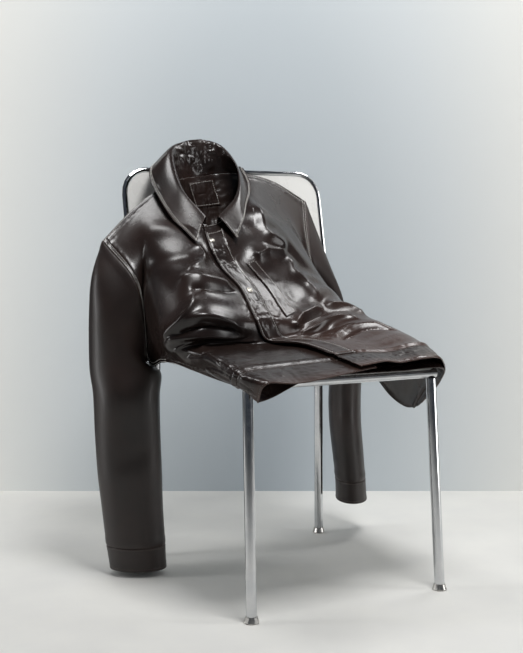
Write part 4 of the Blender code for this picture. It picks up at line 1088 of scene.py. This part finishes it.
def add_shell(panel, look):
    """The closed skin round a panel's grid, with rounded edges.  It carries the panel's marks to the look."""
    rows, columns = panel.points.shape[:2]
    half = panel.half
    into = panel.inward()
    pulled = panel.points + into * half
    outer = (pulled + panel.normals * half).reshape(-1, 3)
    inner = (pulled - panel.normals * half).reshape(-1, 3)
    count = rows * columns
    number = np.arange(count).reshape(rows, columns)
    grid = np.concatenate([number, number[:, :1]], axis=1) if panel.wrapped else number
    a, b, c, d = grid[:-1, :-1], grid[:-1, 1:], grid[1:, 1:], grid[1:, :-1]
    faces = [np.stack([a, b, c, d], axis=-1).reshape(-1, 4)]
    faces.append(np.stack([a, d, c, b], axis=-1).reshape(-1, 4) + count)
    vertices = [outer, inner]
    sources = [np.arange(count), np.arange(count)]
    start = 2 * count
    for loop in perimeter(number, panel.wrapped):
        rings = [loop]
        for turn in np.radians(EDGE_LINES):
            flat = pulled.reshape(-1, 3)[loop] - into.reshape(-1, 3)[loop] * half * math.cos(turn)
            vertices.append(flat + panel.normals.reshape(-1, 3)[loop] * half * math.sin(turn))
            sources.append(loop)
            rings.append(np.arange(len(loop)) + start)
            start += len(loop)
        rings.append(loop + count)
        for upper, lower in zip(rings[:-1], rings[1:]):
            corners = [np.roll(upper, -1), upper, lower, np.roll(lower, -1)]
            faces.append(np.stack(corners, axis=-1))
    vertices = np.concatenate(vertices)
    faces = np.concatenate(faces)
    if panel.flipped:
        faces = faces[:, ::-1]
    sources = np.concatenate(sources)
    shell = add_mesh(panel.name, vertices, faces, look)
    for name, values in panel.marks.items():
        attribute = shell.data.attributes.new(name, "FLOAT", "POINT")
        attribute.data.foreach_set("value", values.reshape(-1)[sources].astype(np.float32))
    return shell


def add_mesh(name, vertices, faces, look):
    mesh = bpy.data.meshes.new(name)
    mesh.vertices.add(len(vertices))
    mesh.vertices.foreach_set("co", np.asarray(vertices + OFFSET, np.float32).reshape(-1))
    size = faces.shape[1]
    mesh.loops.add(faces.size)
    mesh.loops.foreach_set("vertex_index", faces.reshape(-1).astype(np.int32))
    mesh.polygons.add(len(faces))
    mesh.polygons.foreach_set("loop_start", np.arange(len(faces), dtype=np.int32) * size)
    mesh.update(calc_edges=True)
    mesh.validate()
    mesh.shade_smooth()
    mesh.materials.append(look)
    piece = bpy.data.objects.new(name, mesh)
    bpy.context.scene.collection.objects.link(piece)
    return piece


# ---------------------------------------------------------------- materials
DRIFT = (0.35, 0.65)  # the part of a noise's range in which nearly all of it falls
MULTIPLY_ADD = {"operation": "MULTIPLY_ADD"}


def colour(code):
    """An sRGB hex value as linear red, green and blue, and no transparency."""
    channels = [int(code[i : i + 2], 16) / 255 for i in (1, 3, 5)]
    return [c / 12.92 if c <= 0.04045 else ((c + 0.055) / 1.055) ** 2.4 for c in channels] + [1.0]


def add_node(tree, kind, settings=(), stops=(), **sockets):
    """Adds a shader node.  A socket's value is a number, a colour or another node's output to link.

    `stops` are a ramp's places and colours.  A ramp is made with its two ends, so these come first.
    """
    made = tree.nodes.new("ShaderNode" + kind)
    for name, value in dict(settings).items():
        setattr(made, name, value)
    for index, (position, code) in enumerate(stops):
        stop = made.color_ramp.elements[index] if index < 2 else made.color_ramp.elements.new(position)
        stop.position = position
        stop.color = colour(code)
    for name, value in sockets.items():
        key = int(name[1:]) if name[0] == "_" else name.replace("_", " ")
        if isinstance(value, bpy.types.NodeSocket):
            tree.links.new(value, made.inputs[key])
        else:
            made.inputs[key].default_value = value
    return made


def new_material(name):
    made = bpy.data.materials.new(name)
    made.use_nodes = True
    made.node_tree.nodes.clear()
    return made, made.node_tree


def calfskin():
    """Semi-aniline calfskin, drum dyed and hand polished: nearly black, brown where it is stretched thin."""
    made, tree = new_material("polished_calfskin")
    place = add_node(tree, "TexCoord").outputs["Object"]
    # Clouds about 110 mm across, as the dye takes unevenly over a hide.
    cloud = add_node(tree, "TexNoise", Vector=place, Scale=9.0, Detail=3.0, Roughness=0.55).outputs["Fac"]
    wear = add_node(tree, "Attribute", {"attribute_name": "wear"}).outputs["Fac"]
    # Dye: the brown under the black shows where the hide is stretched or rubbed.
    tone = add_node(tree, "Math", MULTIPLY_ADD, _0=cloud, _1=DYE_CLOUD, _2=wear).outputs[0]
    dye = add_node(tree, "ValToRGB", stops=((0.12, "#1c1614"), (1.0, "#4d3730")), Fac=tone)
    # Polish: uneven by hand, so a highlight breaks up softly.
    gloss = add_node(tree, "MapRange", Value=cloud, From_Min=0.3, From_Max=0.7, To_Min=0.22, To_Max=0.30)
    dull = add_node(tree, "Attribute", {"attribute_name": "dull"}).outputs["Fac"]
    rough = add_node(tree, "Math", MULTIPLY_ADD, _0=dull, _1=DULL_ROUGHNESS, _2=gloss.outputs[0])
    # Pores of the grain side, 1.6 mm apart: coarser than real ones, which would not show at this size.
    grain = add_node(tree, "TexVoronoi", Vector=place, Scale=620.0).outputs["Distance"]
    fine = add_node(tree, "Bump", Strength=0.10, Distance=0.0003, Height=grain).outputs[0]
    # Wrinkles of hide that has been bent often, about 11 mm apart.
    creases = add_node(tree, "TexNoise", Vector=place, Scale=90.0, Detail=4.0, Roughness=0.6).outputs["Fac"]
    broad = add_node(tree, "Bump", Strength=0.20, Distance=0.0010, Height=creases, Normal=fine).outputs[0]
    shader = add_node(
        tree,
        "BsdfPrincipled",
        Base_Color=dye.outputs["Color"],
        Roughness=rough.outputs[0],
        IOR=1.5,
        Specular_IOR_Level=0.42,
        Coat_Weight=0.05,
        Coat_Roughness=0.10,
        Normal=broad,
    )
    add_node(tree, "OutputMaterial", Surface=shader.outputs[0])
    return made


def backdrop():
    """Matt backdrop with painted shade: a cool grey cloud painted behind the chair, where its shade falls,
    that fades to warm white.

    Its back is clear, so the chair shows from behind it too.
    """
    made, tree = new_material("matt_backdrop_with_painted_shade")
    place = add_node(tree, "TexCoord").outputs["Object"]
    middle = WALL_FOOT + OFFSET + np.array([0, 0, WALL_MIDDLE_HEIGHT])
    away = add_node(tree, "VectorMath", {"operation": "SUBTRACT"}, _0=place, _1=middle).outputs[0]
    across = add_node(tree, "VectorMath", {"operation": "DOT_PRODUCT"}, _0=away, _1=ASIDE).outputs["Value"]
    height = add_node(tree, "SeparateXYZ", Vector=away).outputs["Z"]
    wide = add_node(tree, "Math", {"operation": "DIVIDE"}, _0=across, _1=WALL_REACH[0]).outputs[0]
    tall = add_node(tree, "Math", {"operation": "DIVIDE"}, _0=height, _1=WALL_REACH[1]).outputs[0]
    far = add_node(tree, "CombineXYZ", X=wide, Y=tall).outputs[0]
    far = add_node(tree, "VectorMath", {"operation": "LENGTH"}, _0=far).outputs["Value"]
    # The ramp paints shade: darker cool grey in the middle behind the chair, warm white towards the edges.
    tone = add_node(tree, "ValToRGB", stops=WALL_PAINTED_SHADE_TONES, Fac=far).outputs["Color"]
    matt = add_node(tree, "BsdfPrincipled", Base_Color=tone, Roughness=0.9).outputs[0]
    behind = add_node(tree, "NewGeometry").outputs["Backfacing"]
    clear = add_node(tree, "BsdfTransparent").outputs[0]
    both = add_node(tree, "MixShader", _0=behind, _1=matt, _2=clear)
    add_node(tree, "OutputMaterial", Surface=both.outputs[0])
    return made


def mottled(name, codes, scale, roughness, metallic=0.0, relief=0.0):
    """A material whose colour and polish drift between two values, over `scale` patches a metre."""
    made, tree = new_material(name)
    place = add_node(tree, "TexCoord").outputs["Object"]
    drift = add_node(tree, "TexNoise", Vector=place, Scale=scale, Detail=4.0, Roughness=0.6).outputs["Fac"]
    tone = add_node(tree, "ValToRGB", stops=zip(DRIFT, codes), Fac=drift).outputs["Color"]
    spread = dict(From_Min=DRIFT[0], From_Max=DRIFT[1], To_Min=roughness[0], To_Max=roughness[1])
    polish = add_node(tree, "MapRange", Value=drift, **spread).outputs[0]
    shader = add_node(tree, "BsdfPrincipled", Base_Color=tone, Roughness=polish, Metallic=metallic)
    if relief:
        bump = add_node(tree, "Bump", Strength=0.3, Distance=relief, Height=drift)
        tree.links.new(bump.outputs[0], shader.inputs["Normal"])
    add_node(tree, "OutputMaterial", Surface=shader.outputs[0])
    return made


def pale_thread():
    """Bonded polyester thread, waxed: pale grey, flecked every 4 mm, so it reads as a dotted line."""
    return mottled("pale_waxed_polyester_thread", ("#cfccc6", "#e4e2dd"), 260, (0.50, 0.65))


def brown_thread():
    """The same thread dyed brown, where the stitches are meant to disappear into the leather."""
    return mottled("brown_waxed_polyester_thread", ("#4a413c", "#5e544e"), 260, (0.45, 0.60))


def chromed_tube():
    """Drawn steel tube, polished and chrome plated: a mirror, faintly uneven every 25 mm from the belt."""
    return mottled("chrome_plated_steel_tube", ("#c3c5c8", "#d0d1d2"), 40, (0.10, 0.17), metallic=1.0)


def plated_glide():
    """Pressed steel glide, zinc plated and dulled by the floor, in patches of 11 mm."""
    return mottled("zinc_plated_pressed_steel", ("#b9b7b2", "#d2d0cb"), 90, (0.30, 0.42), metallic=1.0)


def enamelled_sheet():
    """Pressed sheet, sprayed with stove enamel: off white, with the 70 mm ripple of a sprayed coat."""
    return mottled("stove_enamelled_sheet", ("#e6e5e1", "#e9e8e4"), 14, (0.26, 0.29), relief=0.0001)


def snap_metal():
    """Stamped brass snap cap, nickel plated and tumbled: bright, with dulled patches of 3 mm."""
    return mottled("nickel_plated_stamped_brass", ("#a8a39a", "#c6c1b8"), 350, (0.22, 0.36), metallic=1.0)


def painted_floor():
    """Studio floor rolled with matt paint: pale, with the broad, faint waves that the roller leaves."""
    return mottled("rolled_matt_floor_paint", ("#dcdbd7", "#e1e0db"), 6, (0.60, 0.72), relief=0.0004)


# ---------------------------------------------------------------- stage
def add_flat(name, corners, look):
    return add_mesh(name, np.array(corners), np.array([[0, 1, 2, 3]]), look)


def add_stage():
    side = ASIDE * FLOOR_HALF_WIDTH
    back = UNDER_EYE - AHEAD * FLOOR_BEHIND
    floor = add_flat("floor", (back - side, back + side, WALL_FOOT + side, WALL_FOOT - side), painted_floor())
    side = ASIDE * WALL_HALF_WIDTH
    top = WALL_FOOT + np.array([0, 0, WALL_HEIGHT])
    wall = add_flat("wall", (WALL_FOOT - side, WALL_FOOT + side, top + side, top - side), backdrop())


def add_camera():
    camera = bpy.data.cameras.new("camera")
    camera.sensor_fit = "VERTICAL"
    camera.sensor_height = SENSOR
    camera.lens = FOCAL_PIXELS / FRAME_PIXELS * SENSOR
    camera.clip_start = 0.05
    placed = bpy.data.objects.new("camera", camera)
    bpy.context.scene.collection.objects.link(placed)
    ahead = Vector((math.sin(YAW) * math.cos(PITCH), math.cos(YAW) * math.cos(PITCH), -math.sin(PITCH)))
    right = Vector(ASIDE)
    turn = Matrix((right, right.cross(ahead), -ahead)).transposed().to_4x4()
    placed.matrix_world = Matrix.Translation(Vector(EYE) + Vector(OFFSET)) @ turn
    bpy.context.scene.camera = placed


def add_light(name, place, target, size, power):
    light = bpy.data.lights.new(name, "AREA")
    light.shape = "RECTANGLE"
    light.size, light.size_y = size
    light.energy = power
    placed = bpy.data.objects.new(name, light)
    bpy.context.scene.collection.objects.link(placed)
    placed.location = Vector(place) + Vector(OFFSET)
    aim = Vector(target) - Vector(place)
    placed.rotation_euler = aim.to_track_quat("-Z", "Y").to_euler()


def add_lights():
    world = bpy.data.worlds.new("studio")
    world.use_nodes = True
    sky = world.node_tree.nodes["Background"]
    sky.inputs["Color"].default_value = colour(SKY[0])
    sky.inputs["Strength"].default_value = SKY[1]
    bpy.context.scene.world = world
    for light in LIGHTS:
        add_light(*light)
    for side, power in WALL_LIGHTS:
        foot = WALL_FOOT - AHEAD * WALL_LIGHT_BEFORE + ASIDE * side * WALL_LIGHT_ASIDE
        place = foot + np.array([0, 0, WALL_LIGHT_HEIGHT])
        target = WALL_FOOT + ASIDE * side * WALL_LIGHT_AIM[0] + np.array([0, 0, WALL_LIGHT_AIM[1]])
        add_light(f"wall_light_{side}", place, target, WALL_LIGHT_SIZE, power)
    bpy.context.scene.view_settings.view_transform = "Standard"


# ---------------------------------------------------------------- dressing
def dress(piece, nodes):
    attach(piece, "root")
    if nodes:
        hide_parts(*nodes)


def dress_chair():
    """Gives the chair's own solids their materials."""
    tube, glide, sheet = chromed_tube(), plated_glide(), enamelled_sheet()
    for name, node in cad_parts.items():
        if node.hide_render:
            continue
        look = sheet if name.endswith("sheet") else glide if name.startswith("glide") else tube
        node.data.materials.clear()
        node.data.materials.append(look)


def add_snap(name, base, normal, radius, look):
    """A snap's cap: a low dome inside a raised ring."""
    bpy.ops.object.select_all(action="DESELECT")
    bpy.ops.mesh.primitive_torus_add(
        major_radius=radius * SNAP_RING[0],
        minor_radius=radius * SNAP_RING[1],
        major_segments=40,
        minor_segments=12,
    )
    ring = bpy.context.object
    ring.scale.z = SNAP_RING_FLATTENED
    bpy.ops.mesh.primitive_uv_sphere_add(segments=32, ring_count=16, radius=radius * SNAP_DOME)
    cap = bpy.context.object
    cap.scale.z = SNAP_DOME_FLATTENED
    ring.select_set(True)
    bpy.ops.object.transform_apply(location=False, rotation=False, scale=True)
    bpy.ops.object.join()
    cap.location = Vector(base + OFFSET)
    cap.rotation_euler = Vector(normal).to_track_quat("Z", "Y").to_euler()
    bpy.ops.object.transform_apply(location=True, rotation=True, scale=True)
    bpy.ops.object.shade_smooth()
    cap.name = name
    cap.data.materials.append(look)
    return cap


def main():
    leather = calfskin()
    brown, pale = brown_thread(), pale_thread()
    panels, snaps, rows = make_panels()
    for panel in panels.values():
        shell = add_shell(panel, leather)
        shell.name = panel.name + "_leather"
        dress(shell, [panel.name])
        stitches = []
        if panel.name in rows:
            thread = brown if panel.name in BROWN_THREAD else pale
            stitches = [add_stitches(panel.name + "_topstitching", rows[panel.name], thread)]
            dress(stitches[0], [])
    metal = snap_metal()
    for name, base, normal, radius in snaps:
        dress(add_snap(name + "_cap", base, normal, radius, metal), [name])
    dress_chair()
    add_stage()
    add_camera()
    add_lights()


main()
